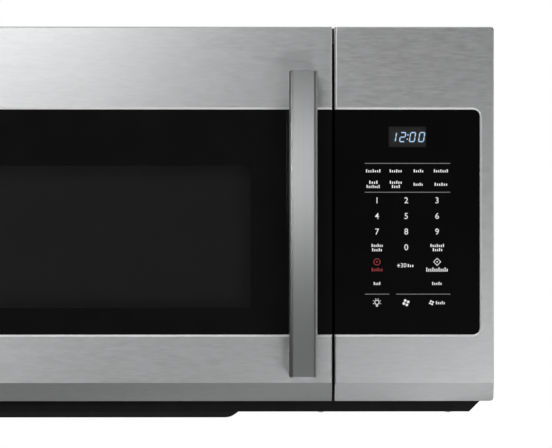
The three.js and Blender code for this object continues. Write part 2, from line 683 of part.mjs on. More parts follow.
function panelHousing() {
  const { left, right, back } = HOUSING;
  const body = block(left, right, TRAY_FRONT, back, TRAY_BOTTOM, TRAY_TOP);
  const hollow = block(
    left + WALL, right - WALL, TRAY_FRONT + WALL, back + 1, TRAY_BOTTOM + WALL, TRAY_TOP - WALL,
  );
  const halfWidth = DISPLAY_WIDTH / 2 + CLEAR;
  const halfHeight = DISPLAY_HEIGHT / 2 + CLEAR;
  const window = block(
    DISPLAY_X - halfWidth, DISPLAY_X + halfWidth, TRAY_FRONT - 1, TRAY_FRONT + WALL + 1,
    DISPLAY_Z - halfHeight, DISPLAY_Z + halfHeight,
  );
  const posts = [-1, 1].flatMap((sideways) => [-1, 1].map((up) => {
    const x = HOUSING_X + sideways * (BOARD_WIDTH / 2 - BOARD_POST);
    const z = GLASS_MIDDLE + up * (BOARD_HEIGHT / 2 - BOARD_POST);
    return rod(BOARD_POST, [x, TRAY_FRONT + WALL / 2, z], [x, BOARD_FRONT - CLEAR, z], 10);
  }));
  return piece("panel_housing", cut(join(cut(body, hollow), ...posts), window), BLACK_PLASTIC);
}

// Circuit board with its relays, small transformer and connector on the back.
function controlBoard() {
  const board = block(
    HOUSING_X - BOARD_WIDTH / 2, HOUSING_X + BOARD_WIDTH / 2, BOARD_FRONT, BOARD_BACK,
    GLASS_MIDDLE - BOARD_HEIGHT / 2, GLASS_MIDDLE + BOARD_HEIGHT / 2,
  );
  const part = (x, z, width, height, tall) => block(
    HOUSING_X + x - width / 2, HOUSING_X + x + width / 2, BOARD_BACK - BOARD / 2, BOARD_BACK + tall,
    GLASS_MIDDLE + z - height / 2, GLASS_MIDDLE + z + height / 2,
  );
  const relays = [-42, -14, 14].map((x) => part(x, -70, 19, 15, 16));
  const transformer = part(34, -30, 38, 32, 27);
  const connector = part(0, 84, 56, 8, 9);
  const can = (y) => [HOUSING_X - 30, y, GLASS_MIDDLE - 30];
  const capacitor = rod(8, can(BOARD_FRONT + 1), can(BOARD_BACK + 22), 16);
  const parts = [...relays, transformer, connector, capacitor];
  return piece("control_board", join(board, ...parts), CIRCUIT_BOARD);
}

function displayModule() {
  const body = block(
    DISPLAY_X - DISPLAY_WIDTH / 2, DISPLAY_X + DISPLAY_WIDTH / 2,
    TRAY_FRONT, TRAY_FRONT + DISPLAY_DEPTH,
    DISPLAY_Z - DISPLAY_HEIGHT / 2, DISPLAY_Z + DISPLAY_HEIGHT / 2,
  );
  return piece("display_module", body, BLACK_PLASTIC);
}

// ---------------------------------------------------------------------------------------------
// Case
// ---------------------------------------------------------------------------------------------
function frontPlate() {
  const plate = block(-CASE_SIDE, CASE_SIDE, PLATE_FACE, PLATE_BACK, PAN_TOP + CLEAR, TRAY_TOP);
  const mouth = alongY(
    rectangle(CAVITY_LEFT, CAVITY_RIGHT, CAVITY_FLOOR, CAVITY_CEILING, CAVITY_CORNER),
    PLATE_BACK + 1, PLATE_FACE - 1,
  );
  const bay = block(
    PANEL_LEFT + BAY_EDGE, CASE_SIDE - BAY_EDGE, PLATE_FACE - 1, PLATE_BACK + 1,
    TRAY_BOTTOM + BAY_EDGE, TRAY_TOP - BAY_EDGE,
  );
  const side = KEY_THICKNESS / 2 + LATCH_ROOM;
  const slots = [HOOK_UPPER, HOOK_LOWER].map((z) => {
    const [low, high] = hookSlot(z);
    return block(KEY_X - side, KEY_X + side, PLATE_FACE - 1, PLATE_BACK + 1, low, high);
  });
  return piece("front_plate", cut(plate, mouth, bay, ...slots), GALVANISED);
}

// Where the grille's top face lies, and the wedge of the case that it takes away.
const GRILLE_SLOPE = Math.atan2(CASE_TOP - TRAY_TOP, GRILLE_DEPTH);
const GRILLE_BACK = CASE_FRONT + GRILLE_DEPTH;
const GRILLE_DROP = GRILLE_THICKNESS / Math.cos(GRILLE_SLOPE); // thickness measured straight down

function grilleCut() {
  const down = GRILLE_DROP + CLEAR;
  const back = GRILLE_BACK + GRILLE_THICKNESS * Math.sin(GRILLE_SLOPE) + CLEAR;
  const rise = Math.tan(GRILLE_SLOPE);
  const past = 5; // how far the cut runs past the case
  return alongX(outline([
    [CASE_FRONT - past, TRAY_TOP - down - past * rise],
    [back, CASE_TOP - down + (back - GRILLE_BACK) * rise],
    [back, CASE_TOP + past], [CASE_FRONT - past, CASE_TOP + past],
  ]), -WIDTH, WIDTH);
}

const GLAND_X = CASE_SIDE - GLAND_INSET;

function caseWrap() {
  const shape = (inset, bottom) => outline([
    [-CASE_SIDE + inset, bottom], [CASE_SIDE - inset, bottom],
    [CASE_SIDE - inset, CASE_TOP - inset, CASE_CORNER - inset],
    [-CASE_SIDE + inset, CASE_TOP - inset, CASE_CORNER - inset],
  ]);
  const outer = alongY(shape(0, PAN_TOP + CLEAR), CASE_BACK, CASE_FRONT);
  const inner = alongY(shape(SHEET, PAN_BOTTOM), CASE_BACK + 1, CASE_FRONT - 1);
  const glandAt = (z) => [GLAND_X, -GLAND_DEPTH, z];
  const glandHole = rod(GLAND_RADIUS + CLEAR, glandAt(CASE_TOP - 5), glandAt(CASE_TOP + 5), 14);
  return piece("case_wrap", cut(outer, inner, grilleCut(), glandHole), BLACK_PAINT);
}

// Bushing for the mains lead, which goes up into the cabinet. Its collar ends just below the case's
// top, so that the top can lie flat against the cabinet, and its flange bears on the inside.
function cordGland() {
  const bore = GLAND_RADIUS - 3;
  const top = CASE_TOP - CLEAR;
  const seat = CASE_TOP - SHEET - CLEAR;
  const low = seat - 8;
  const profile = [
    [bore, low], [GLAND_RADIUS, low], [GLAND_RADIUS, seat - 3], [GLAND_RADIUS + 3, seat - 2],
    [GLAND_RADIUS + 3, seat], [GLAND_RADIUS, seat], [GLAND_RADIUS, top - 0.5], [GLAND_RADIUS - 0.5, top],
    [bore, top], [bore, low],
  ];
  return piece("cord_gland", turned(profile, 12), BLACK_PLASTIC, [GLAND_X, -GLAND_DEPTH, 0]);
}

const WALL_PLATE_TOP = CASE_TOP - WALL_PLATE_DROP;
const WALL_PLATE_BOTTOM = PAN_TOP + WALL_PLATE_RISE;
const HOOK_X = [-HOOK_SPREAD, HOOK_SPREAD];
const HOOK_Z = WALL_PLATE_BOTTOM + HOOK_RISE;
const HOOK_ROOM = 2; // hook to its slot in the back panel

function backPanel() {
  const panelShape = outline([
    [-CASE_SIDE + PAN_HEIGHT, PAN_BOTTOM], [CASE_SIDE - PAN_HEIGHT, PAN_BOTTOM], [CASE_SIDE, PAN_TOP],
    [CASE_SIDE, CASE_TOP, CASE_CORNER], [-CASE_SIDE, CASE_TOP, CASE_CORNER], [-CASE_SIDE, PAN_TOP],
  ]);
  const reach = HOOK_TAB / 2 + HOOK_ROOM;
  const slots = HOOK_X.map((x) => block(
    x - reach, x + reach, BACK_FACE - 5, BACK_FACE + 5, HOOK_Z - HOOK_ROOM, HOOK_Z + HOOK_TAB / 2,
  ));
  const panel = alongY(panelShape, BACK_FACE, BACK_FACE - SHEET);
  return piece("back_panel", cut(panel, ...slots), GALVANISED);
}

// Stamped plate that is screwed to the wall studs. The oven hangs on its two hooks.
function wallPlate() {
  const half = CASE_SIDE - WALL_PLATE_INSET;
  const low = WALL_PLATE_BOTTOM;
  const high = WALL_PLATE_TOP;
  const sheet = block(-half, half, -WALL, 0, low, high);
  const windows = Array.from({ length: 2 * WALL_WINDOWS }, (_, i) => {
    const x = (i % WALL_WINDOWS - (WALL_WINDOWS - 1) / 2) * WALL_WINDOW_PITCH;
    const z = (low + high) / 2 + (i < WALL_WINDOWS ? 1 : -1) * WALL_WINDOW_PITCH / 2;
    const reach = WALL_WINDOW / 2;
    return block(x - reach, x + reach, -WALL - 1, 1, z - reach, z + reach);
  });
  const pads = [-1, 1].flatMap((side) => [low, high - WALL_PAD].map((z) => {
    const x = side * (half - WALL_PAD);
    return block(x - WALL_PAD, x + WALL_PAD, BACK_FACE + CLEAR, -WALL / 2, z + 4, z + WALL_PAD - 4);
  }));
  const hookBack = BACK_FACE - SHEET - 4;
  const hooks = HOOK_X.flatMap((x) => [
    block(x - HOOK_TAB / 2, x + HOOK_TAB / 2, hookBack, -WALL / 2, HOOK_Z, HOOK_Z + WALL),
    block(x - HOOK_TAB / 2, x + HOOK_TAB / 2, hookBack, hookBack + WALL, HOOK_Z, HOOK_Z + 8),
  ]);
  const holes = [-1, 1].flatMap((side) => [low + WALL_PAD / 2, high - WALL_PAD / 2].map((z) =>
    rod(3.2, [(side * WALL_STUDS) / 2, -WALL - 1, z], [(side * WALL_STUDS) / 2, 1, z], 8)));
  return piece("wall_plate", cut(join(sheet, ...pads, ...hooks), ...windows, ...holes), GALVANISED);
}

// Black tray under the case: sloped ends, a pressed-down middle, openings for the filters and the lamp.
const FILTER_X = [CAVITY_X - FILTER_SPREAD, CAVITY_X + FILTER_SPREAD];
const FILTER_Y = (DROP_FRONT_Y + DROP_BACK_Y) / 2 - FILTER_SHIFT;
const DROP_FLOOR = DROP_BOTTOM + SHEET;
const LAMP_Y = DROP_FRONT_Y + LAMP_SETBACK;

function basePan() {
  // Sides at 45 degrees. The hollow's side moves in by the sheet's thickness along the slope's normal.
  const trough = (inset, top) => {
    const low = CASE_SIDE - PAN_HEIGHT - inset * (Math.SQRT2 - 1);
    const high = low + top - (PAN_BOTTOM + inset);
    return outline([[-low, PAN_BOTTOM + inset], [low, PAN_BOTTOM + inset], [high, top], [-high, top]]);
  };
  const above = PAN_BOTTOM + DROP_DEPTH; // the drop's cutter runs on up through the pan's floor
  const dropShape = (inset) => {
    const half = DROP_WIDTH / 2 - inset;
    const reach = (PAN_BOTTOM + inset - DROP_BOTTOM) * DROP_LEAN;
    const top = inset ? above : PAN_BOTTOM + SHEET / 2;
    return outline([
      [CAVITY_X - half, DROP_BOTTOM + inset, DROP_CORNER - inset],
      [CAVITY_X + half, DROP_BOTTOM + inset, DROP_CORNER - inset],
      [CAVITY_X + half + reach, PAN_BOTTOM + inset], [CAVITY_X + half + reach, top],
      [CAVITY_X - half - reach, top], [CAVITY_X - half - reach, PAN_BOTTOM + inset],
    ]);
  };
  const dropSide = (inset) => outline([
    [DROP_FRONT_Y + DROP_DEPTH + inset, DROP_BOTTOM + inset],
    [DROP_BACK_Y - DROP_DEPTH - inset, DROP_BOTTOM + inset],
    [DROP_BACK_Y - inset, PAN_BOTTOM + inset], [DROP_BACK_Y - inset, above],
    [DROP_FRONT_Y + inset, above], [DROP_FRONT_Y + inset, PAN_BOTTOM + inset],
  ]);
  const drop = (inset) => alongY(dropShape(inset), DROP_BACK_Y, DROP_FRONT_Y, { steps: 5 })
    .intersect(alongX(dropSide(inset), -WIDTH, WIDTH));
  const body = join(alongY(trough(0, PAN_TOP), CASE_BACK, PLATE_FACE), drop(0));
  const trench = alongY(trough(SHEET, PAN_TOP + SHEET), CASE_BACK + 1, PLATE_FACE + SHEET);
  const hollow = join(trench, drop(SHEET));
  const openings = FILTER_X.map((x) => block(
    x - FILTER_WIDTH / 2 + FILTER_LEDGE, x + FILTER_WIDTH / 2 - FILTER_LEDGE,
    FILTER_Y - FILTER_LENGTH / 2 + FILTER_LEDGE, FILTER_Y + FILTER_LENGTH / 2 - FILTER_LEDGE,
    DROP_BOTTOM - 1, DROP_FLOOR + 1,
  ));
  const half = LAMP_OPENING / 2;
  const lamp = block(
    CAVITY_X - half, CAVITY_X + half, LAMP_Y - half, LAMP_Y + half, DROP_BOTTOM - 1, DROP_FLOOR + 1,
  );
  return piece("base_pan", cut(body, hollow, ...openings, lamp), BLACK_PAINT);
}

const GRILLE_PLACE = [0, CASE_FRONT, TRAY_TOP];
const GRILLE_TURN = [GRILLE_SLOPE, 0, 0];

// Louvred grille on the sloping front of the top: rows of leaning slots, with slats and ribs between.
function ventGrille() {
  const length = GRILLE_DEPTH / Math.cos(GRILLE_SLOPE);
  const slab = block(-CASE_SIDE, CASE_SIDE, 0, length, -GRILLE_THICKNESS, 0);
  const row = (length - 2 * GRILLE_EDGE + SLAT_THICKNESS) / GRILLE_ROWS;
  const bay = (2 * (CASE_SIDE - GRILLE_EDGE) + GRILLE_RIB) / GRILLE_BAYS;
  const slots = Array.from({ length: GRILLE_ROWS * GRILLE_BAYS }, (_, i) => {
    const y = GRILLE_EDGE + Math.floor(i / GRILLE_BAYS) * row;
    const x = -CASE_SIDE + GRILLE_EDGE + (i % GRILLE_BAYS) * bay;
    const open = row - SLAT_THICKNESS;
    const under = -GRILLE_THICKNESS - 1;
    const slot = outline([
      [y - SLAT_LEAN, under], [y - SLAT_LEAN + open, under], [y + open, 1], [y, 1],
    ]);
    return alongX(slot, x, x + bay - GRILLE_RIB);
  });
  return piece("vent_grille", cut(slab, ...slots), BLACK_PLASTIC, GRILLE_PLACE, GRILLE_TURN);
}

// Charcoal filter under the grille, with its open cells.
function charcoalFilter() {
  const half = CHARCOAL_WIDTH / 2;
  const length = GRILLE_DEPTH / Math.cos(GRILLE_SLOPE) - 2;
  const top = -GRILLE_THICKNESS - CLEAR;
  const place = [CAVITY_X, CASE_FRONT, TRAY_TOP];
  const slab = block(-half, half, CHARCOAL_EDGE, length, top - CHARCOAL_THICKNESS, top);
  const count = 8;
  const border = 4;
  const cell = (CHARCOAL_WIDTH - 2 * border) / count;
  const cells = Array.from({ length: count }, (_, i) => {
    const x = -half + border + (i + 0.5) * cell;
    const reach = cell / 2 - border / 2;
    return block(
      x - reach, x + reach, CHARCOAL_EDGE + border, length - border, top - CHARCOAL_THICKNESS / 2, top + 1,
    );
  });
  return piece("charcoal_filter", cut(slab, ...cells), CHARCOAL, place, GRILLE_TURN);
}

// ---------------------------------------------------------------------------------------------
// Oven cavity, with the waveguide's opening, lamp and air holes and the track for the rollers
// ---------------------------------------------------------------------------------------------
const RIGHT_OUTSIDE = CAVITY_RIGHT + SHEET;
const CEILING_OUTSIDE = CAVITY_CEILING + SHEET;
const FLOOR_OUTSIDE = CAVITY_FLOOR - SHEET;
const TRACK_FLOOR = CAVITY_FLOOR - TRACK_DEPTH;

const LAMP_WINDOW_Z = CAVITY_Z + 60; // the lamp shines in through small holes high on the left wall

// A grid of six-sided holes, as cutters that run along X through a side wall.
function wallHoles(x, y, z, columns, rows) {
  return Array.from({ length: columns * rows }, (_, i) => {
    const holeY = y + ((i % columns) - (columns - 1) / 2) * HOLE_PITCH;
    const holeZ = z + (Math.floor(i / columns) - (rows - 1) / 2) * HOLE_PITCH;
    return rod(HOLE_RADIUS, [x - 5, holeY, holeZ], [x + 5, holeY, holeZ], 6);
  });
}

function cavity() {
  const shape = (out) => rectangle(
    CAVITY_LEFT - out, CAVITY_RIGHT + out, CAVITY_FLOOR - out, CAVITY_CEILING + out, CAVITY_CORNER + out,
  );
  const outer = alongY(shape(SHEET), CAVITY_REAR + SHEET, CASE_FRONT, { steps: 5 });
  const inner = alongY(shape(0), CAVITY_REAR, CASE_FRONT - 1, { steps: 5 });
  const side = ROLLER_WIDTH / 2 + TRACK_ROOM;
  const ring = (grow, low, high) => turned([
    [TRACK_RADIUS - side - grow, low], [TRACK_RADIUS + side + grow, low],
    [TRACK_RADIUS + side + grow, high], [TRACK_RADIUS - side - grow, high], [TRACK_RADIUS - side - grow, low],
  ], 28).translate([CAVITY_X, CAVITY_Y, 0]);
  const bead = ring(SHEET, TRACK_FLOOR - SHEET, CAVITY_FLOOR - SHEET / 2);
  const track = ring(0, TRACK_FLOOR, CAVITY_FLOOR + 1);
  const shaftAt = (z) => [CAVITY_X, CAVITY_Y, z];
  const shaftHole = rod(SHAFT_RADIUS + SHAFT_ROOM, shaftAt(CAVITY_FLOOR - 5), shaftAt(CAVITY_FLOOR + 5), 14);
  const port = block(
    CAVITY_RIGHT - 5, CAVITY_RIGHT + 5, GUIDE_Y - PORT_LENGTH / 2, GUIDE_Y + PORT_LENGTH / 2,
    GUIDE_Z - PORT_HEIGHT / 2, GUIDE_Z + PORT_HEIGHT / 2,
  );
  const airIn = wallHoles(CAVITY_RIGHT, AIR_Y, CAVITY_Z, 3, 3);
  const airOut = wallHoles(CAVITY_LEFT, AIR_Y, LAMP_WINDOW_Z, 3, 3);
  const made = cut(join(cut(outer, inner), bead), track, shaftHole, port, ...airIn, ...airOut);
  return piece("cavity", made, CAVITY_ENAMEL);
}

// Duct from the magnetron into the cavity, and the mica sheet that covers its mouth.
function waveguide() {
  const x = RIGHT_OUTSIDE + CLEAR;
  const long = GUIDE_LENGTH / 2;
  const tall = GUIDE_HEIGHT / 2;
  const duct = block(x, x + GUIDE_DEPTH, GUIDE_Y - long, GUIDE_Y + long, GUIDE_Z - tall, GUIDE_Z + tall);
  const hollow = block(
    x - 1, x + GUIDE_DEPTH - SHEET, GUIDE_Y - long + SHEET, GUIDE_Y + long - SHEET,
    GUIDE_Z - tall + SHEET, GUIDE_Z + tall - SHEET,
  );
  const flange = cut(
    block(x, x + SHEET, GUIDE_Y - long - 8, GUIDE_Y + long + 8, GUIDE_Z - tall - 8, GUIDE_Z + tall + 8),
    block(x - 1, x + SHEET + 1, GUIDE_Y - long, GUIDE_Y + long, GUIDE_Z - tall, GUIDE_Z + tall),
  );
  const antennaHole = rod(
    ANTENNA_RADIUS + 2, [x, GUIDE_Y, GUIDE_Z], [x + GUIDE_DEPTH + 5, GUIDE_Y, GUIDE_Z], 14,
  );
  return piece("waveguide", cut(join(cut(duct, hollow), flange), antennaHole), GALVANISED);
}

function waveguideCover() {
  const face = CAVITY_RIGHT - CLEAR;
  const long = PORT_LENGTH / 2 + PORT_COVER;
  const tall = PORT_HEIGHT / 2 + PORT_COVER;
  const sheet = block(face - 0.8, face, GUIDE_Y - long, GUIDE_Y + long, GUIDE_Z - tall, GUIDE_Z + tall);
  return piece("waveguide_cover", sheet, MICA);
}

// Magnetron: yoke, magnets, finned anode, filter box and the antenna that stands in the waveguide.
function magnetron() {
  const x0 = RIGHT_OUTSIDE + CLEAR + GUIDE_DEPTH + CLEAR;
  const x1 = x0 + MAGNETRON_DEPTH;
  const wide = MAGNETRON_WIDTH / 2;
  const tall = MAGNETRON_HEIGHT / 2;
  const box = (a, b, c, d, e, f) => block(a, b, GUIDE_Y + c, GUIDE_Y + d, GUIDE_Z + e, GUIDE_Z + f);
  const round = (radius, a, b) => rod(radius, [a, GUIDE_Y, GUIDE_Z], [b, GUIDE_Y, GUIDE_Z], 12);
  const yoke = [
    box(x0, x0 + 2, -wide, wide, -tall, tall), box(x1 - 2, x1, -wide, wide, -tall, tall),
    box(x0, x1, -wide, wide, tall - 2, tall), box(x0, x1, -wide, wide, -tall, -tall + 2),
  ];
  const fins = Array.from({ length: 5 }, (_, i) => {
    const x = x0 + 19 + i * 6;
    return box(x, x + 0.8, -wide + 3, wide - 3, -tall + 1, tall - 1);
  });
  const magnets = [round(26, x0 + 1, x0 + 15), round(26, x1 - 15, x1 - 1)];
  const anode = round(19, x0 + 1, x1 - 1);
  const antenna = round(ANTENNA_RADIUS, x0 - GUIDE_DEPTH + 6, x0 + 2);
  const filterBox = box(x1 - 1, x1 + 24, -wide + 8, wide - 8, -tall + 4, tall - 10);
  return piece("magnetron", join(...yoke, ...fins, ...magnets, anode, antenna, filterBox), ALUMINIUM);
}

// ---------------------------------------------------------------------------------------------
// Electrical parts that stand on the pan to the right of the cavity
// ---------------------------------------------------------------------------------------------
const PAN_FLOOR = PAN_BOTTOM + SHEET;

const PAN_SEAT = PAN_FLOOR + CLEAR;

// Laminated core between two feet, with the windings coming out at both ends.
function transformer() {
  const x = CASE_SIDE - TRANSFORMER_INSET;
  const y = TRANSFORMER_Y;
  const z = PAN_SEAT;
  const long = CORE_LENGTH / 2;
  const foot = block(x - FOOT_WIDTH / 2, x + FOOT_WIDTH / 2, y - long, y + long, z, z + FOOT_THICKNESS);
  const core = block(x - CORE_WIDTH / 2, x + CORE_WIDTH / 2, y - long, y + long, z + 1, z + CORE_HEIGHT);
  const low = z + (CORE_HEIGHT - COIL_HEIGHT) / 2;
  const winding = rectangle(x - COIL_WIDTH / 2, x + COIL_WIDTH / 2, low, low + COIL_HEIGHT, 9);
  const coils = alongY(winding, y + long + COIL_OVERHANG, y - long - COIL_OVERHANG, { bevel: 2 });
  return piece("hv_transformer", join(foot, core, coils), IRON_CORE);
}

const CAPACITOR_X = CASE_SIDE - CAPACITOR_INSET;

// Oval can with two blade terminals.
function capacitor() {
  const x = CAPACITOR_X;
  const y = CAPACITOR_Y;
  const z = PAN_SEAT;
  const wide = CAPACITOR_WIDTH / 2;
  const deep = CAPACITOR_DEPTH / 2;
  const top = z + CAPACITOR_HEIGHT;
  const can = alongZ(rectangle(x - wide, x + wide, y - deep, y + deep, deep - 0.1), z, top, { bevel: 1 });
  const terminals = [-12, 12].map((dx) =>
    block(x + dx - 3, x + dx + 3, y - 0.6, y + 0.6, top - 1, top + TERMINAL_HEIGHT));
  return piece("hv_capacitor", join(can, ...terminals), ALUMINIUM);
}

// Diode on its lug behind the capacitor.
function diode() {
  const x = CAPACITOR_X;
  const y = CAPACITOR_Y + CAPACITOR_DEPTH / 2 + 10; // the lug's middle
  const z = PAN_SEAT;
  const lug = block(x - 6, x + 6, y - 6, y + 6, z, z + 1.5);
  const post = block(x - 3, x + 3, y - 2, y, z + 1, z + 14);
  const body = block(x - 11, x + 11, y - 4, y + 2, z + 13, z + 20);
  return piece("hv_diode", join(lug, post, body), BLACK_PLASTIC);
}

// Mains filter board on four posts at the back, with its choke and capacitor.
function noiseFilter() {
  const back = CASE_BACK - CLEAR;
  const x = CASE_SIDE - NOISE_INSET;
  const z = CASE_TOP - NOISE_DROP;
  const wide = NOISE_WIDTH / 2;
  const tall = NOISE_HEIGHT / 2;
  const front = back - NOISE_STANDOFF - BOARD;
  const board = block(x - wide, x + wide, front, back - NOISE_STANDOFF, z - tall, z + tall);
  const posts = [-1, 1].flatMap((a) => [-1, 1].map((b) => {
    const at = (y) => [x + a * (wide - 5), y, z + b * (tall - 5)];
    return rod(3, at(back), at(front + 1), 8);
  }));
  const choke = rod(14, [x - 10, front + 1, z], [x - 10, front - 18, z], 20);
  const can = block(x + 10, x + 26, front - 16, front + 1, z - 14, z + 12);
  return piece("noise_filter", join(board, ...posts, choke, can), CIRCUIT_BOARD);
}

// Cooling fan: shroud across the bay, shaded-pole motor on its bridge, and the blade.
const FAN = { x: (RIGHT_OUTSIDE + CASE_SIDE - SHEET) / 2, z: CAVITY_Z + FAN_RISE };

function fanShroud() {
  const left = RIGHT_OUTSIDE + CLEAR;
  const right = CASE_SIDE - SHEET - CLEAR;
  const half = SHROUD_HEIGHT / 2;
  const plate = block(left, right, FAN_Y - 2, FAN_Y, FAN.z - half, FAN.z + half);
  const ring = rod(FAN_RADIUS + 5, [FAN.x, FAN_Y - 18, FAN.z], [FAN.x, FAN_Y - 1, FAN.z], 28);
  const flanges = [
    block(left, left + 2, FAN_Y - 14, FAN_Y, FAN.z - half, FAN.z + half),
    block(right - 2, right, FAN_Y - 14, FAN_Y, FAN.z - half, FAN.z + half),
  ];
  const hole = rod(FAN_RADIUS + 3, [FAN.x, FAN_Y - 30, FAN.z], [FAN.x, FAN_Y + 5, FAN.z], 28);
  const bridge = [-1, 1].map((up) => block(
    FAN.x - FAN_RADIUS - 4, FAN.x + FAN_RADIUS + 4, FAN_Y - 1, FAN_Y + 3,
    FAN.z + up * 20 - 4, FAN.z + up * 20 + 4,
  ));
  return piece("fan_shroud", join(cut(join(plate, ring, ...flanges), hole), ...bridge), BLACK_PLASTIC);
}

function fanMotor() {
  const y = FAN_Y + 3 + CLEAR;
  const stack = block(FAN.x - 30, FAN.x + 30, y, y + 20, FAN.z - 26, FAN.z + 26);
  const coil = block(FAN.x - 16, FAN.x + 16, y, y + 28, FAN.z - 40, FAN.z - 25);
  const bearing = rod(8, [FAN.x, y - 5, FAN.z], [FAN.x, y + 27, FAN.z], 14);
  const bore = rod(FAN_SHAFT + CLEAR, [FAN.x, y - 6, FAN.z], [FAN.x, y + FAN_SEAT, FAN.z], 12);
  return piece("fan_motor", cut(join(stack, coil, bearing), bore), IRON_CORE);
}

function fanBlade() {
  const hub = turned([[0, -6], [11, -6], [11, 5], [8, 7], [0, 7]], 24);
  const ahead = 12; // blade's middle in front of the shroud
  const shaft = rod(FAN_SHAFT, [0, 0, 0], [0, 0, -ahead - 3 - FAN_SEAT + 1], 12);
  const blade = outline([[9, -6], [FAN_RADIUS - 4, -17, 5], [FAN_RADIUS - 1, 14, 9], [9, 6]]);
  const blades = Array.from({ length: FAN_BLADES }, (_, i) => {
    const made = extrude(blade, 1.6, { steps: 3 }).translate(0, 0, -0.8).rotateX(FAN_PITCH);
    return solid(made.rotateZ((i * 2 * Math.PI) / FAN_BLADES));
  });
  const place = [FAN.x, FAN_Y - ahead, FAN.z];
  return piece("fan_blade", join(hub, shaft, ...blades), WHITE_PLASTIC, place, [Math.PI / 2, 0, 0]);
}

// ---------------------------------------------------------------------------------------------
// Turntable
// ---------------------------------------------------------------------------------------------
const TURN = [CAVITY_X, CAVITY_Y, 0];
const ROLLER_Z = TRACK_FLOOR + CLEAR + ROLLER_RADIUS;
const TRAY_UNDERSIDE = ROLLER_Z + ROLLER_RADIUS + CLEAR;
const COUPLER_TOP = TRAY_UNDERSIDE - CLEAR;
const MOTOR_TOP = FLOOR_OUTSIDE - CLEAR;

function turntableMotor() {
  const can = turned([
    [0, MOTOR_TOP - 16], [24, MOTOR_TOP - 16], [25, MOTOR_TOP - 15], [25, MOTOR_TOP - 1],
    [24, MOTOR_TOP], [SHAFT_RADIUS + SHAFT_ROOM, MOTOR_TOP], [SHAFT_RADIUS + SHAFT_ROOM, MOTOR_TOP - 8],
    [0, MOTOR_TOP - 8],
  ], 16);
  const ears = alongZ(rectangle(-34, 34, -6, 6, 5.9), MOTOR_TOP - 1.5, MOTOR_TOP);
  const bore = rod(SHAFT_RADIUS + SHAFT_ROOM, [0, 0, MOTOR_TOP - 8], [0, 0, MOTOR_TOP + 5], 14);
  return piece("turntable_motor", cut(join(can, ears), bore), GALVANISED, TURN);
}

// Three arms that turn the tray by the lugs on its underside.
function coupler() {
  const arms = [0, 1, 2].map((i) => solid(
    extrude(rectangle(0, COUPLER_RADIUS, -COUPLER_ARM / 2, COUPLER_ARM / 2, 2), COUPLER_THICKNESS)
      .translate(0, 0, COUPLER_TOP - COUPLER_THICKNESS)
      .rotateZ((i * 2 * Math.PI) / 3),
  ));
  const hub = rod(COUPLER_ARM, [0, 0, CAVITY_FLOOR + 2], [0, 0, COUPLER_TOP], 16);
  const shaft = rod(SHAFT_RADIUS, [0, 0, MOTOR_TOP - 7], [0, 0, COUPLER_TOP - 1], 16);
  return piece("drive_coupler", join(...arms, hub, shaft), WHITE_PLASTIC, TURN);
}

function rollerRing() {
  const low = ROLLER_Z - RING_SECTION / 2;
  const high = ROLLER_Z + RING_SECTION / 2;
  const inner = RING_RADIUS - RING_SECTION / 2;
  const outer = RING_RADIUS + RING_SECTION / 2;
  const ring = turned([[inner, low], [outer, low], [outer, high], [inner, high], [inner, low]], 26);
  const axles = [0, 1, 2].map((i) => {
    const angle = (i * 2 * Math.PI) / 3 + Math.PI / 2;
    const at = (r) => [r * Math.cos(angle), r * Math.sin(angle), ROLLER_Z];
    return join(
      rod(AXLE_RADIUS, at(RING_RADIUS), at(TRACK_RADIUS + ROLLER_WIDTH / 2 - 1.5), 8),
      rod(AXLE_RADIUS + 2, at(RING_RADIUS), at(TRACK_RADIUS - ROLLER_WIDTH / 2 - CLEAR), 8),
    );
  });
  return piece("roller_ring", join(ring, ...axles), WHITE_PLASTIC, TURN);
}

function roller(index) {
  const bore = AXLE_RADIUS + CLEAR;
  const half = ROLLER_WIDTH / 2;
  const wheel = turned([
    [bore, -half], [ROLLER_RADIUS - 1, -half], [ROLLER_RADIUS, -half + 1], [ROLLER_RADIUS, half - 1],
    [ROLLER_RADIUS - 1, half], [0, half], [0, half - 1], [bore, half - 1], [bore, -half],
  ], 16);
  const angle = (index * 2 * Math.PI) / 3 + Math.PI / 2;
  const place = [
    CAVITY_X + TRACK_RADIUS * Math.cos(angle), CAVITY_Y + TRACK_RADIUS * Math.sin(angle), ROLLER_Z,
  ];
  const mesh = piece(`roller_${index + 1}`, wheel, WHITE_PLASTIC, place);
  mesh.quaternion.setFromUnitVectors(Z_AXIS, new THREE.Vector3(Math.cos(angle), Math.sin(angle), 0));
  return mesh;
}

// Glass tray: flat floor, raised rim and three lugs round the coupler's arms.
function glassTray() {
  const z = TRAY_UNDERSIDE;
  const dish = turned([
    [0, z], [TRAY_RADIUS - 14, z], [TRAY_RADIUS - 2, z + TRAY_RIM - 5], [TRAY_RADIUS, z + TRAY_RIM - 3],
    [TRAY_RADIUS, z + TRAY_RIM], [TRAY_RADIUS - 4, z + TRAY_RIM], [TRAY_RADIUS - 16, z + TRAY_GLASS],
    [0, z + TRAY_GLASS],
  ], 40);
  const lugs = [0, 1, 2].map((i) => {
    const angle = ((i + 0.5) * 2 * Math.PI) / 3;
    const at = [(COUPLER_RADIUS - 4) * Math.cos(angle), (COUPLER_RADIUS - 4) * Math.sin(angle)];
    return rod(5, [...at, z - COUPLER_THICKNESS], [...at, z + 1], 10);
  });
  return piece("glass_tray", join(dish, ...lugs), CLEAR_GLASS, TURN);
}

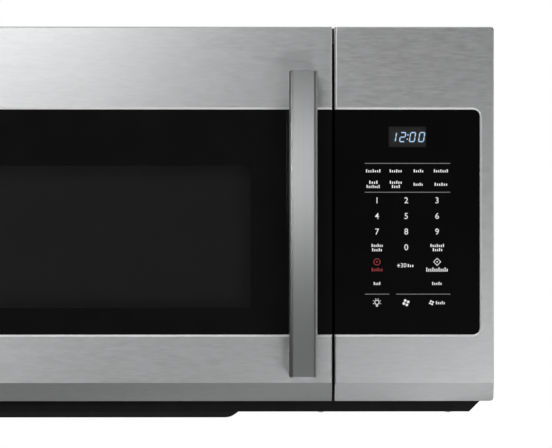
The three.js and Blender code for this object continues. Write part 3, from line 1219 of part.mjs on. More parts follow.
// ---------------------------------------------------------------------------------------------
// Vent blower: two squirrel-cage wheels in scrolls, one on each end of a double-shaft motor
// ---------------------------------------------------------------------------------------------
const BLOWER_Y = -BLOWER_DEPTH;
const BLOWER_Z = CEILING_OUTSIDE + CLEAR + WALL + SCROLL_WIDE;
const WHEEL_ROOM = 5; // wheel's ends to the scroll's cheeks
const SCROLL_LENGTH = WHEEL_LENGTH + 2 * (WHEEL_ROOM + WALL);
const SIDES = [["left", -1], ["right", 1]];

// Spiral round the wheel from the tongue over the top, and then straight to the mouth.
function scrollShape(grow, reach) {
  const shape = new THREE.Shape();
  shape.moveTo(-reach, grow);
  const steps = 12;
  for (let i = 0; i <= steps; i += 1) {
    const share = i / steps;
    const angle = Math.PI - share * 1.5 * Math.PI;
    const radius = SCROLL_TIGHT + (SCROLL_WIDE - SCROLL_TIGHT) * share + grow;
    shape.lineTo(radius * Math.cos(angle), radius * Math.sin(angle) + (i === 0 ? grow : 0));
  }
  shape.lineTo(-reach, -SCROLL_WIDE - grow);
  shape.closePath();
  return shape;
}

function blowerHousing() {
  const at = (made) => made.translate([CAVITY_X, BLOWER_Y, BLOWER_Z]);
  const scrolls = SIDES.map(([, side]) => {
    const near = side * (MOTOR_BAY / 2);
    const far = side * (MOTOR_BAY / 2 + SCROLL_LENGTH);
    const [x0, x1] = [Math.min(near, far), Math.max(near, far)];
    const shell = alongX(scrollShape(WALL, SCROLL_OUTLET), x0, x1);
    const hollow = alongX(scrollShape(0, SCROLL_OUTLET + 5), x0 + WALL, x1 - WALL);
    const inlet = rod(WHEEL_RADIUS - BLADE_DEPTH, [side * MOTOR_BAY, 0, 0], [far + side * 5, 0, 0], 22);
    const shaftHole = rod(BLOWER_HUB + 2, [0, 0, 0], [side * MOTOR_BAY, 0, 0], 12);
    return cut(shell, hollow, inlet, shaftHole);
  });
  const low = -SCROLL_WIDE - WALL;
  const bed = block(-MOTOR_BAY / 2 - 1, MOTOR_BAY / 2 + 1, -34, 34, low, low + WALL);
  return piece("blower_housing", at(join(...scrolls, bed)), GALVANISED);
}

function blowerMotor() {
  const half = MOTOR_LENGTH / 2;
  const bed = -SCROLL_WIDE + CLEAR;
  const can = rod(MOTOR_RADIUS, [-half, 0, 0], [half, 0, 0], 18);
  const ends = rod(MOTOR_RADIUS - 8, [-half - 3, 0, 0], [half + 3, 0, 0], 18);
  const bosses = rod(BLOWER_HUB, [-half - 6, 0, 0], [half + 6, 0, 0], 10);
  const cradle = block(-half + 6, half - 6, -26, 26, bed, -MOTOR_RADIUS / 2);
  const bore = rod(BLOWER_SHAFT + CLEAR, [-half - 10, 0, 0], [half + 10, 0, 0], 10);
  const made = cut(join(can, ends, bosses, cradle), bore);
  return piece("blower_motor", made, GALVANISED, [CAVITY_X, BLOWER_Y, BLOWER_Z]);
}

function blowerShaft() {
  const reach = MOTOR_BAY / 2 + WALL + WHEEL_ROOM + 16;
  const shaft = rod(BLOWER_SHAFT, [-reach, 0, 0], [reach, 0, 0], 10);
  return piece("blower_shaft", shaft, SPRING_STEEL, [CAVITY_X, BLOWER_Y, BLOWER_Z]);
}

// Wheel with forward-curved blades between a solid disc on the motor's side and a ring at the inlet.
function blowerWheel(name, side) {
  const inner = WHEEL_RADIUS - BLADE_DEPTH;
  const disc = turned([
    [BLOWER_SHAFT + CLEAR, 0], [WHEEL_RADIUS, 0], [WHEEL_RADIUS, 2], [BLOWER_HUB, 2],
    [BLOWER_HUB, 14], [BLOWER_SHAFT + CLEAR, 14], [BLOWER_SHAFT + CLEAR, 0],
  ], 20);
  const rim = turned([
    [inner, WHEEL_LENGTH - 3], [WHEEL_RADIUS, WHEEL_LENGTH - 3], [WHEEL_RADIUS, WHEEL_LENGTH],
    [inner, WHEEL_LENGTH], [inner, WHEEL_LENGTH - 3],
  ], 20);
  const curve = new THREE.Shape();
  const bow = BLADE_DEPTH * 0.4;
  curve.moveTo(inner + 0.4, 0);
  curve.quadraticCurveTo(inner + BLADE_DEPTH / 2, bow / 2, WHEEL_RADIUS - 0.4, bow + 1.5);
  curve.lineTo(WHEEL_RADIUS - 0.4, bow + 1.5 + BLADE_THICKNESS);
  curve.quadraticCurveTo(inner + BLADE_DEPTH / 2, bow / 2 + BLADE_THICKNESS, inner + 0.4, BLADE_THICKNESS);
  curve.closePath();
  const blades = Array.from({ length: BLADE_COUNT }, (_, i) =>
    solid(extrude(curve, WHEEL_LENGTH - 2, { steps: 1 }).translate(0, 0, 1)
      .rotateZ((i * 2 * Math.PI) / BLADE_COUNT)));
  const x = CAVITY_X + side * (MOTOR_BAY / 2 + WALL + WHEEL_ROOM);
  const turn = [0, (side * Math.PI) / 2, 0];
  return piece(name, join(disc, rim, ...blades), ALUMINIUM, [x, BLOWER_Y, BLOWER_Z], turn);
}

// ---------------------------------------------------------------------------------------------
// Lamps and grease filters
// ---------------------------------------------------------------------------------------------

// Bulb and holder on the outside of the cavity's left wall, over its small holes.
function cavityLamp() {
  const x = CAVITY_LEFT - SHEET - CLEAR;
  const y = AIR_Y;
  const z = LAMP_WINDOW_Z;
  const shoe = block(x - 2, x, y - 18, y + 18, z + 14, z + 34);
  const arm = block(x - 22, x, y - 12, y + 12, z + 30, z + 32);
  const holder = rod(9, [x - 12, y, z + 31], [x - 12, y, z + 16], 12);
  const bulb = rod(7, [x - 12, y, z + 18], [x - 12, y, z - 4], 12, 3);
  return piece("cavity_lamp", join(shoe, arm, holder, bulb), WHITE_PLASTIC);
}

function cooktopLamp() {
  const z = DROP_FLOOR + CLEAR + LENS_THICKNESS + CLEAR;
  const half = LAMP_OPENING / 2 + LENS_LEDGE;
  const inside = half - WALL;
  const top = z + 22;
  const box = block(CAVITY_X - half, CAVITY_X + half, LAMP_Y - half, LAMP_Y + half, z, top);
  const hollow = block(
    CAVITY_X - inside, CAVITY_X + inside, LAMP_Y - inside, LAMP_Y + inside, z - 1, top - WALL,
  );
  const bulb = rod(8, [CAVITY_X, LAMP_Y, top - 1], [CAVITY_X, LAMP_Y, top - 16], 12);
  return piece("cooktop_lamp", join(cut(box, hollow), bulb), ALUMINIUM);
}

function lampLens() {
  const z = DROP_FLOOR + CLEAR;
  const lens = (half, low, high) =>
    block(CAVITY_X - half, CAVITY_X + half, LAMP_Y - half, LAMP_Y + half, low, high);
  const plate = lens(LAMP_OPENING / 2 + LENS_LEDGE, z, z + LENS_THICKNESS);
  const nose = lens(LAMP_OPENING / 2 - CLEAR, DROP_BOTTOM, z + 1);
  return piece("cooktop_lens", join(plate, nose), LENS);
}

// Aluminium mesh pad in a frame, with a pull tab.
function greaseFilter(name, x) {
  const z = DROP_FLOOR + CLEAR;
  const width = FILTER_WIDTH / 2;
  const length = FILTER_LENGTH / 2;
  const layer = (inset, low, high) => block(
    x - width + inset, x + width - inset, FILTER_Y - length + inset, FILTER_Y + length - inset, low, high,
  );
  const rim = 5;
  const top = z + FILTER_THICKNESS;
  const recess = 1.5; // mesh below the frame's faces
  const made = cut(layer(0, z, top), layer(rim, z - 1, z + recess), layer(rim, top - recess, top + 1));
  const tab = FILTER_Y - length + 12;
  const grip = block(x - 9, x + 9, tab, tab + 2, z - SHEET, z + 3);
  return piece(name, join(made, grip), ALUMINIUM);
}

// ---------------------------------------------------------------------------------------------
// Door latch body with its interlock switches
// ---------------------------------------------------------------------------------------------
const CATCH_BACK = HOOK_TIP - 12 - LATCH_ROOM / 2;
const LATCH_BACK = HOOK_TIP + SWITCH_GAP;
const SWITCHES = [["upper", HOOK_UPPER], ["lower", HOOK_LOWER]];

function latchBody() {
  const low = HOOK_LOWER - 24; // screw lands below and above the hooks
  const high = HOOK_UPPER + 34;
  const side = KEY_THICKNESS / 2 + LATCH_ROOM;
  const wide = LATCH_WIDTH / 2;
  const body = block(KEY_X - wide, KEY_X + wide, CASE_FRONT, LATCH_BACK, low, high);
  const chambers = SWITCHES.map(([, z]) => {
    const [bottom, top] = hookSlot(z);
    return join(
      block(KEY_X - side, KEY_X + side, CASE_FRONT - 1, LATCH_BACK - 3, bottom, top),
      block(KEY_X - side, KEY_X + side, CATCH_BACK, LATCH_BACK - 3, bottom - HOOK_NOSE, bottom + 1),
      block(
        KEY_X - PLUNGER / 2 - CLEAR, KEY_X + PLUNGER / 2 + CLEAR, HOOK_TIP, LATCH_BACK + 1,
        z + 1 - CLEAR, z + 1 + PLUNGER + CLEAR,
      ),
    );
  });
  const lighter = block(
    KEY_X - wide + 3, KEY_X + wide - 3, CASE_FRONT + 3, LATCH_BACK + 1, HOOK_LOWER + 33, HOOK_UPPER - 23,
  );
  return piece("latch_body", cut(body, ...chambers, lighter), WHITE_PLASTIC);
}

function interlockSwitch(name, z) {
  const y0 = LATCH_BACK + CLEAR;
  const wide = LATCH_WIDTH / 2 - 2;
  const body = block(KEY_X - wide, KEY_X + wide, y0, y0 + 11, z - 14, z + 14);
  const bore = block(
    KEY_X - PLUNGER / 2 - CLEAR, KEY_X + PLUNGER / 2 + CLEAR, y0 - 1, y0 + 7,
    z + 1 - CLEAR, z + 1 + PLUNGER + CLEAR,
  );
  const tabs = [-8, 8].map((dz) => block(KEY_X - 3, KEY_X + 3, y0 + 10, y0 + 19, z + dz - 0.5, z + dz + 0.5));
  return piece(name, join(cut(body, bore), ...tabs), BLACK_PLASTIC);
}

function plunger(name, z) {
  const tip = HOOK_TIP + CLEAR;
  const back = LATCH_BACK + CLEAR + 7 - PLUNGER_TRAVEL - CLEAR;
  const body = block(KEY_X - PLUNGER / 2, KEY_X + PLUNGER / 2, back, tip, z + 1, z + 1 + PLUNGER);
  return piece(name, body, WHITE_PLASTIC);
}

// ---------------------------------------------------------------------------------------------
// The whole oven
// ---------------------------------------------------------------------------------------------
const handle = doorHandle();
const oven = new THREE.Group();
oven.add(
  frontSkin("door_skin", -1, DOOR_WIDTH),
  frontGlass("door_glass", -1, DOOR_WIDTH),
  doorTray(), chokeCover(), ...doorWindow(), handle, latchKey(), latchSpring(),
  hinge("hinge_upper", 1), hinge("hinge_lower", -1),
  frontSkin("panel_skin", 1, PANEL_WIDTH),
  frontGlass("panel_glass", 1, PANEL_WIDTH),
  panelHousing(), controlBoard(), displayModule(),
  frontPlate(), caseWrap(), cordGland(), backPanel(), wallPlate(), basePan(), ventGrille(), charcoalFilter(),
  cavity(), waveguide(), waveguideCover(), magnetron(),
  transformer(), capacitor(), diode(), noiseFilter(), fanShroud(), fanMotor(), fanBlade(),
  turntableMotor(), coupler(), rollerRing(), roller(0), roller(1), roller(2), glassTray(),
  blowerHousing(), blowerMotor(), blowerShaft(),
  ...SIDES.map(([word, side]) => blowerWheel(`blower_wheel_${word}`, side)),
  cavityLamp(), cooktopLamp(), lampLens(),
  ...SIDES.map(([word], i) => greaseFilter(`grease_filter_${word}`, FILTER_X[i])),
  latchBody(),
  ...SWITCHES.map(([word, z]) => interlockSwitch(`interlock_switch_${word}`, z)),
  ...SWITCHES.map(([word, z]) => plunger(`switch_plunger_${word}`, z)),
);

export default oven;
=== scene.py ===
# An over-the-range microwave oven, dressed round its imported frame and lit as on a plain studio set.
# Metres, +Z up, the wall at Y = 0 and the cook at -Y. The sections follow the oven as it is put together.
import bmesh
import bpy
import math
from mathutils import Matrix, Vector


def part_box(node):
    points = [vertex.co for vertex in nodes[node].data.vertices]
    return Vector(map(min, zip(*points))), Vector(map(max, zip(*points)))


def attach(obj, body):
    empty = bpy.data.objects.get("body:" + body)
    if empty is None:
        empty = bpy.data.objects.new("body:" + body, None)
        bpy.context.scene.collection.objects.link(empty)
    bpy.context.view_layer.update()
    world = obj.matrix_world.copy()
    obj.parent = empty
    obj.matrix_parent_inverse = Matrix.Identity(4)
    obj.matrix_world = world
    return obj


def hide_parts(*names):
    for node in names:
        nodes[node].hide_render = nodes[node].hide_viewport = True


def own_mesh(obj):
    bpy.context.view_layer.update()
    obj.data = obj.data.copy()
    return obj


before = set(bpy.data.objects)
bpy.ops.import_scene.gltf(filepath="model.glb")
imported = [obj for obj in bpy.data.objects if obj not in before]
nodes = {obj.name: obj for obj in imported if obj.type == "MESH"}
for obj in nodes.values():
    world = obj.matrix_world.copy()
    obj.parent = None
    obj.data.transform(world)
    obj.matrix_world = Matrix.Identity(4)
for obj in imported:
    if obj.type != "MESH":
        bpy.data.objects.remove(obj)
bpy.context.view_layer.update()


# ---- Camera ------------------------------------------------------------------------------------------
# The picture was taken level with the middle of the oven and in front of the middle of its width, of
# which the frame shows only the right-hand part. A small turn and a small shift bring that part in.
PICTURE_WIDTH = 0.5789  # of the oven's face
PICTURE_X = 0.1506
PICTURE_Z = -0.0020
CAMERA_DISTANCE = 5.0
CAMERA_SHIFT = 0.12  # of the picture's width
SENSOR = 36  # millimetres
FACE_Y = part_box("door_skin")[0].y

camera_data = bpy.data.cameras.new("camera")
camera_data.sensor_width = SENSOR
camera_data.lens = SENSOR * CAMERA_DISTANCE / PICTURE_WIDTH
camera_data.shift_x = CAMERA_SHIFT
camera_data.clip_end = 100
camera = bpy.data.objects.new("camera", camera_data)
camera.location = (0, FACE_Y - CAMERA_DISTANCE, PICTURE_Z)
camera_turn = (PICTURE_X - CAMERA_SHIFT * PICTURE_WIDTH) / CAMERA_DISTANCE
camera.rotation_euler = (math.pi / 2, 0, -camera_turn)
bpy.context.scene.collection.objects.link(camera)
bpy.context.scene.camera = camera
bpy.context.scene.view_settings.view_transform = "Standard"


# ---- Studio ------------------------------------------------------------------------------------------
# A plain pale floor, as far below the oven as in a kitchen, and a white backdrop. Softboxes beside the
# camera give the steel its fall from bright to dark, and larger ones overhead light the floor and the top.
# The rest of the room is dim, darkest level with the camera, so that black glass stays black.
FLOOR_Z = -1.25
FLOOR_HALF = 14
ROOM_DARK = 0.036
ROOM_PALE = 0.12
DARK_WITHIN = 0.08  # of level, as the rise of a line of sight of length one
PALE_BEYOND = 0.45


def add(owner, kind, settings=None, *values, **sockets):
    """Adds a node to a material, world or tree. A socket is given a value or another node's output."""
    tree = getattr(owner, "node_tree", owner)
    node = tree.nodes.new(kind)
    for name, value in (settings or {}).items():
        setattr(node, name, value)
    wanted = [(node.inputs[i], value) for i, value in enumerate(values) if value is not None]
    wanted += [(node.inputs[name.replace("_", " ")], value) for name, value in sockets.items()]
    for socket, value in wanted:
        if isinstance(value, bpy.types.NodeSocket):
            tree.links.new(value, socket)
        else:
            socket.default_value = value
    return node


def calc(owner, operation, a, b=0.0):
    return add(owner, "ShaderNodeMath", {"operation": operation}, a, b).outputs[0]


def softbox(name, centre, aim, width, height, watts):
    light = bpy.data.lights.new(name, "AREA")
    light.shape = "RECTANGLE"
    light.size = width
    light.size_y = height
    light.energy = watts
    lamp = bpy.data.objects.new(name, light)
    lamp.location = centre
    lamp.rotation_euler = (Vector(aim) - Vector(centre)).to_track_quat("-Z", "Y").to_euler()
    lamp.visible_camera = False
    bpy.context.scene.collection.objects.link(lamp)


softbox("softbox_upper", (-0.16, -1.9, 0.77), (0, -0.4, 0), 0.35, 0.7, 4.9)
softbox("softbox_lower", (0.6, -1.9, -0.71), (0, -0.4, 0), 0.65, 0.6, 3.4)
softbox("softbox_lower_right", (1.0, -1.9, -0.61), (0.2, -0.4, 0), 0.6, 0.55, 3.3)
softbox("softbox_left", (-0.6, -1.9, 0.075), (0, -0.4, 0), 0.5, 0.12, 2.6)
softbox("softbox_right", (1.5, -0.6, -0.05), (0.18, -0.43, -0.05), 0.5, 0.6, 2.0)
softbox("softbox_above_front", (0.1, -0.75, 1.2), (0.1, -0.4, 0.2), 1.2, 0.3, 1.8)
softbox("softbox_overhead", (0, 0.6, 2.2), (0, 0.3, 0), 2.4, 1.4, 12)
softbox("floor_light_behind", (0, 3.5, 3.0), (0, 3.5, 0), 6, 3, 70)
softbox("floor_light_before", (0, -5.5, 3.0), (0, -5.5, 0), 6, 3, 35)
for side, x in (("left", -1.7), ("right", 1.7)):
    softbox("softbox_behind_" + side, (x, 2.2, 0.8), (0, 0, 0), 1.2, 1.2, 14)

room = bpy.data.worlds.new("room")
bpy.context.scene.world = room
room.use_nodes = True
room.node_tree.nodes.clear()
upward = add(room, "ShaderNodeSeparateXYZ", None,
             add(room, "ShaderNodeTexCoord").outputs["Generated"]).outputs["Z"]
away_from_level = add(room, "ShaderNodeMapRange", {"interpolation_type": "SMOOTHSTEP"},
                      calc(room, "ABSOLUTE", upward), DARK_WITHIN, PALE_BEYOND,
                      ROOM_DARK, ROOM_PALE).outputs[0]
room_light = add(room, "ShaderNodeBackground", Strength=away_from_level)
backdrop = add(room, "ShaderNodeBackground", Color=(1, 1, 1, 1))
seen = add(room, "ShaderNodeMixShader", None, add(room, "ShaderNodeLightPath").outputs["Is Camera Ray"],
           room_light.outputs[0], backdrop.outputs[0])
add(room, "ShaderNodeOutputWorld", Surface=seen.outputs[0])


def inputs_of(material):
    return material.node_tree.nodes["Principled BSDF"].inputs


def finish(name, **sockets):
    """A material with one Principled shader, its sockets set to plain values."""
    material = bpy.data.materials.new(name)
    material.use_nodes = True
    for key, value in sockets.items():
        inputs_of(material)[key.replace("_", " ")].default_value = value
    return material


def drive(material, socket, output):
    """Feeds a pattern into a socket of the material's shader."""
    material.node_tree.links.new(output, inputs_of(material)[socket])


def place_in(material, scale=(1, 1, 1), turn=(0, 0, 0)):
    """The object's own coordinates, stretched and turned."""
    here = add(material, "ShaderNodeTexCoord").outputs["Object"]
    return add(material, "ShaderNodeMapping", None, here, Scale=scale, Rotation=turn).outputs[0]


def noise(material, scale, detail=2.0, rough=0.5, stretch=(1, 1, 1)):
    return add(material, "ShaderNodeTexNoise", Vector=place_in(material, stretch), Scale=scale,
               Detail=detail, Roughness=rough).outputs[0]


def colours(material, value, *stops):
    """Turns a value into a colour, from pairs of position and colour."""
    node = add(material, "ShaderNodeValToRGB", None, value)
    elements = node.color_ramp.elements
    while len(elements) < len(stops):
        elements.new(1.0)
    for element, (position, colour) in zip(elements, stops):
        element.position = position
        element.color = (*colour, 1)
    return node.outputs[0]


def span(material, value, low, high):
    return add(material, "ShaderNodeMapRange", None, value, 0.0, 1.0, low, high).outputs[0]


def grey(level, warmth=0.0):
    return (level * (1 + warmth), level, level * (1 - warmth))


def mottle(material, scale, low, high, detail=2.0):
    """Lets the colour drift between two tones in soft patches."""
    tone = colours(material, noise(material, scale, detail), (0.3, low), (0.7, high))
    drive(material, "Base Color", tone)
    return tone


def piece(name, mesh, material, body):
    """A finished piece: its place is in its mesh, and it rides on a body."""
    made = bpy.data.objects.new(name, mesh)
    bpy.context.scene.collection.objects.link(made)
    if material:
        mesh.materials.clear()
        mesh.materials.append(material)
    if body:
        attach(made, body)
    return made


def new_mesh(name, points, faces):
    mesh = bpy.data.meshes.new(name)
    mesh.from_pydata(points, [], faces)
    mesh.update()
    return mesh


floor_paint = finish("floor_paint", Roughness=0.7, Emission_Color=(1, 1, 1, 1), Emission_Strength=0.06)
mottle(floor_paint, 3, grey(0.80), grey(0.84))
# Its underside doesn't show, so that the pan can be looked at from below.
underside = add(floor_paint, "ShaderNodeNewGeometry").outputs["Backfacing"]
drive(floor_paint, "Alpha", span(floor_paint, underside, 1.0, 0.0))
floor_corners = [(x * FLOOR_HALF, y * FLOOR_HALF, FLOOR_Z)
                 for x, y in ((-1, -1), (1, -1), (1, 1), (-1, 1))]
piece("floor", new_mesh("floor", floor_corners, [(0, 1, 2, 3)]), floor_paint, None)


# ---- Wall plate and back panel -----------------------------------------------------------------------
# Plates of galvanised sheet. The wall plate is screwed to the studs and the oven hangs on its hooks. The
# spangle of the zinc shows as pale and dark flakes some millimetres across.
SPANGLE = 150  # flakes to the metre
FLAKE_SHARE = 0.6  # of the pattern, and the rest is smudges


def coat(material, *names):
    """Gives CAD nodes a material."""
    for name in names:
        for slot in nodes[name].material_slots:
            slot.material = material


def grains_of(material, scale):
    """A pattern of small cells, each with a tone of its own."""
    return add(material, "ShaderNodeTexVoronoi", Vector=place_in(material), Scale=scale).outputs


galvanised = finish("galvanised", Metallic=0.85, Roughness=0.4)
flakes = grains_of(galvanised, SPANGLE)["Color"]
smudges = calc(galvanised, "MULTIPLY", noise(galvanised, 9, 4), 1 - FLAKE_SHARE)
zinc_pattern = calc(galvanised, "ADD", calc(galvanised, "MULTIPLY", flakes, FLAKE_SHARE), smudges)
drive(galvanised, "Base Color", colours(galvanised, zinc_pattern, (0.2, grey(0.42)),
                                        (0.55, (0.49, 0.50, 0.52)), (0.8, (0.56, 0.58, 0.60))))
drive(galvanised, "Roughness", span(galvanised, flakes, 0.34, 0.44))
coat(galvanised, "wall_plate", "back_panel")


# ---- Case, pan and vent grille -----------------------------------------------------------------------
# One sheet of steel wrapped over the top and sides, powder painted black with a fine orange peel. The
# pan that closes it below, the plate in front and the louvred grille on top carry the same paint. The
# gland where a cord would leave is black plastic.
PEEL = 700  # ripples of the paint to the metre


def roughen(material, height, distance, strength=0.5):
    bump = add(material, "ShaderNodeBump", Height=height, Distance=distance, Strength=strength)
    drive(material, "Normal", bump.outputs[0])


black_paint = finish("black_paint", Roughness=0.5, IOR=1.4, Specular_IOR_Level=0.22)
mottle(black_paint, 60, grey(0.005), grey(0.009), 4)
drive(black_paint, "Roughness", span(black_paint, noise(black_paint, 25, 3), 0.44, 0.6))
roughen(black_paint, noise(black_paint, PEEL), 0.00005)
coat(black_paint, "case_wrap", "base_pan", "vent_grille", "front_plate")
black_plastic = finish("black_plastic", Roughness=0.5)
mottle(black_plastic, 50, grey(0.010), grey(0.017), 3)
roughen(black_plastic, noise(black_plastic, 1500), 0.00004)
coat(black_plastic, "cord_gland")


# ---- Screws of the case ------------------------------------------------------------------------------
# Pan-head sheet-metal screws with a cross recess hold the case to the front plate, the back panel and
# the pan. They are zinc plated outside and show as small bright heads.
SCREW_HEAD = 0.0034  # radius
SCREW_RISE = 0.0013
RECESS = 0.0017  # centre to the end of a recess arm
RECESS_ARM = 0.0005  # half its width
RECESS_DEPTH = 0.0009
HEAD_PROFILE = ((1.0, 0.0), (0.95, 0.45), (0.72, 1.0))  # shares of the radius and of the rise
HINGE_PLATE = 0.0023  # how far the hinges' plates stand out from the front plate
PAN_DROP = 0.0085  # the pan's pressed-down middle below its rim


def screw_head():
    """The head alone, round the origin and facing +Z, with its cross recess."""
    cross = [(RECESS, -RECESS_ARM), (RECESS, RECESS_ARM), (RECESS_ARM, RECESS_ARM)]
    turns = [quarter * math.pi / 2 for quarter in range(4)]
    rings = []
    for radius, height in HEAD_PROFILE:
        angles = [turn + math.atan2(y, x) for turn in turns for x, y in cross]
        rings.append([(SCREW_HEAD * radius * math.cos(angle), SCREW_HEAD * radius * math.sin(angle),
                       SCREW_RISE * height) for angle in angles])
    for height in (SCREW_RISE, SCREW_RISE - RECESS_DEPTH):
        rings.append([(x * math.cos(turn) - y * math.sin(turn), x * math.sin(turn) + y * math.cos(turn),
                       height) for turn in turns for x, y in cross])
    points = [point for ring in rings for point in ring]
    count = len(rings[0])
    faces = [(row * count + i, row * count + (i + 1) % count, (row + 1) * count + (i + 1) % count,
              (row + 1) * count + i) for row in range(len(rings) - 1) for i in range(count)]
    bottom = (len(rings) - 1) * count
    faces += [tuple(bottom + (3 * arm + i) % count for i in (-1, 0, 1, 2)) for arm in range(4)]
    faces.append(tuple(bottom + 3 * arm + 2 for arm in range(4)))
    faces.append(tuple(reversed(range(count))))
    return new_mesh("screw_head", points, faces)


def tree_for(name, *inputs):
    """A Geometry Nodes tree with a geometry in and out, and the named inputs."""
    tree = bpy.data.node_groups.new(name, "GeometryNodeTree")
    tree.interface.new_socket("Geometry", in_out="INPUT", socket_type="NodeSocketGeometry")
    for label, kind in inputs:
        tree.interface.new_socket(label, in_out="INPUT", socket_type="NodeSocket" + kind)
    tree.interface.new_socket("Geometry", in_out="OUTPUT", socket_type="NodeSocketGeometry")
    return tree, add(tree, "NodeGroupInput").outputs


def close(tree, geometry, material):
    """Ends a tree: its instances are made real and given their finish."""
    real = add(tree, "GeometryNodeRealizeInstances", None, geometry).outputs[0]
    painted = add(tree, "GeometryNodeSetMaterial", None, real, Material=material).outputs[0]
    add(tree, "NodeGroupOutput", None, painted)


def grow(name, tree, start=None, **inputs):
    """Runs a tree on a starting mesh, or on a single point, and keeps the result as a plain mesh."""
    seed = bpy.data.objects.new(name + "_seed", start or new_mesh("start", [(0, 0, 0)], []))
    bpy.context.scene.collection.objects.link(seed)
    modifier = seed.modifiers.new("grow", "NODES")
    modifier.node_group = tree
    for socket in tree.interface.items_tree:
        if socket.in_out == "INPUT" and socket.name.replace(" ", "_") in inputs:
            modifier[socket.identifier] = inputs[socket.name.replace(" ", "_")]
    depsgraph = bpy.context.evaluated_depsgraph_get()
    mesh = bpy.data.meshes.new_from_object(seed.evaluated_get(depsgraph))
    mesh.name = name
    bpy.data.objects.remove(seed)
    return mesh


screws, given = tree_for("screws", ("Head", "Object"), ("Finish", "Material"))
head = add(screws, "GeometryNodeObjectInfo", None, given["Head"])
facing = add(screws, "GeometryNodeInputNamedAttribute", {"data_type": "FLOAT_VECTOR"}, "facing")
aimed = add(screws, "FunctionNodeAlignRotationToVector", {"axis": "Z"}, Vector=facing.outputs[0])
placed = add(screws, "GeometryNodeInstanceOnPoints", None, given["Geometry"],
             Instance=head.outputs["Geometry"], Rotation=aimed.outputs[0])
close(screws, placed.outputs[0], given["Finish"])
head_pattern = piece("head_pattern", screw_head(), None, None)


def drive_screws(name, rows, material, body):
    """Screw heads at the given points, each row with the way that its heads face."""
    points = [point for row in rows for point in row[1]]
    start = new_mesh(name, points, [])
    aim = start.attributes.new("facing", "FLOAT_VECTOR", "POINT")
    ways = [way for way, row in rows for _ in row]
    for place, way in zip(aim.data, ways):
        place.vector = way
    piece(name, grow(name, screws, start, Head=head_pattern, Finish=material), None, body)


zinc = finish("zinc_plate", Metallic=1.0, Roughness=0.32)
mottle(zinc, 400, (0.52, 0.53, 0.55), (0.66, 0.67, 0.69))
case_low, case_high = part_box("case_wrap")
pan_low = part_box("base_pan")[0]
back_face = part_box("back_panel")[1].y
plate_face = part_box("front_plate")[0].y
hinge_face = plate_face - HINGE_PLATE
outward = {"left": (-1, 0, 0), "right": (1, 0, 0), "back": (0, 1, 0), "front": (0, -1, 0),
           "down": (0, 0, -1)}
case_rows = []
for side, x in (("left", case_low.x), ("right", case_high.x)):
    case_rows.append((outward[side], [(x, y, z) for y in (-0.33, -0.03) for z in (-0.14, 0.0, 0.15)]))
    case_rows.append((outward[side], [(x, y, -0.17) for y in (-0.26, -0.18, -0.10)]))
case_rows += [
    (outward["back"], [(x, back_face, z) for x in (-0.37, 0.37) for z in (-0.17, -0.06, 0.06, 0.17)]),
    (outward["back"], [(x, back_face, 0.199) for x in (-0.25, -0.08, 0.08, 0.25)]),
    (outward["down"], [(x, y, pan_low.z + PAN_DROP) for x in (-0.335, 0.335, 0.20)
                       for y in (-0.335, -0.19, -0.03)])]
drive_screws("case_screws", case_rows, zinc, "root")
plate_rows = [
    (outward["front"], [(x, plate_face, z) for x in (-0.30, -0.15, 0.0, 0.13) for z in (-0.169, 0.168)]),
    (outward["front"], [(-0.3545, hinge_face, z) for z in (-0.1673, -0.1553, 0.1703, 0.1823)])]
drive_screws("plate_screws", plate_rows, zinc, "root")


# ---- Cavity ------------------------------------------------------------------------------------------
# The oven's inside is drawn from sheet steel and coated with a pale grey enamel with a fine dark
# speckle, baked on. It is seen when the door is open.
SPECKLE = 900  # specks to the metre

enamel = finish("cavity_enamel", Roughness=0.32, IOR=1.5)
drive(enamel, "Base Color", colours(enamel, noise(enamel, SPECKLE, 1), (0.30, grey(0.26)),
                                    (0.36, grey(0.52)), (0.70, grey(0.60))))
roughen(enamel, noise(enamel, 500), 0.00004)
coat(enamel, "cavity")


# ---- Waveguide and magnetron -------------------------------------------------------------------------
# The guide is a folded tin of galvanised sheet, the magnetron a block of aluminium fins in a steel yoke.
# A sheet of mica, silvery brown and flaky, covers the port inside the cavity.
aluminium = finish("aluminium", Metallic=1.0, Roughness=0.38)
mottle(aluminium, 80, grey(0.60), grey(0.72), 3)
drive(aluminium, "Roughness", span(aluminium, noise(aluminium, 300), 0.3, 0.48))
mica = finish("mica", Roughness=0.35, Sheen_Weight=0.1)
drive(mica, "Base Color", colours(mica, noise(mica, 120, 6, 0.7), (0.3, (0.30, 0.25, 0.16)),
                                  (0.55, (0.48, 0.42, 0.30)), (0.75, (0.62, 0.57, 0.45))))
coat(galvanised, "waveguide")
coat(aluminium, "magnetron")
coat(mica, "waveguide_cover")


# ---- Transformer, capacitor, diode and noise filter --------------------------------------------------
# Beside the cavity stand the transformer, a stack of thin iron sheets round copper windings, the
# capacitor in its aluminium can, the diode, and the noise filter on its own little board.
CORE_END = 0.043  # middle of the core to the windings that stand out of it
SHEET_BANDS = 190  # scale of the stacked sheets' pattern
WIRE_BANDS = 420  # and of the windings'


def axes(material):
    """The object's own X, Y and Z."""
    return add(material, "ShaderNodeSeparateXYZ", None, place_in(material)).outputs


def off(material, value, middle):
    """How far a value is from a middle, either way."""
    return calc(material, "ABSOLUTE", calc(material, "SUBTRACT", value, middle))


def bands(material, way, scale, distortion):
    return add(material, "ShaderNodeTexWave", {"bands_direction": way}, Vector=place_in(material),
               Scale=scale, Distortion=distortion).outputs["Fac"]


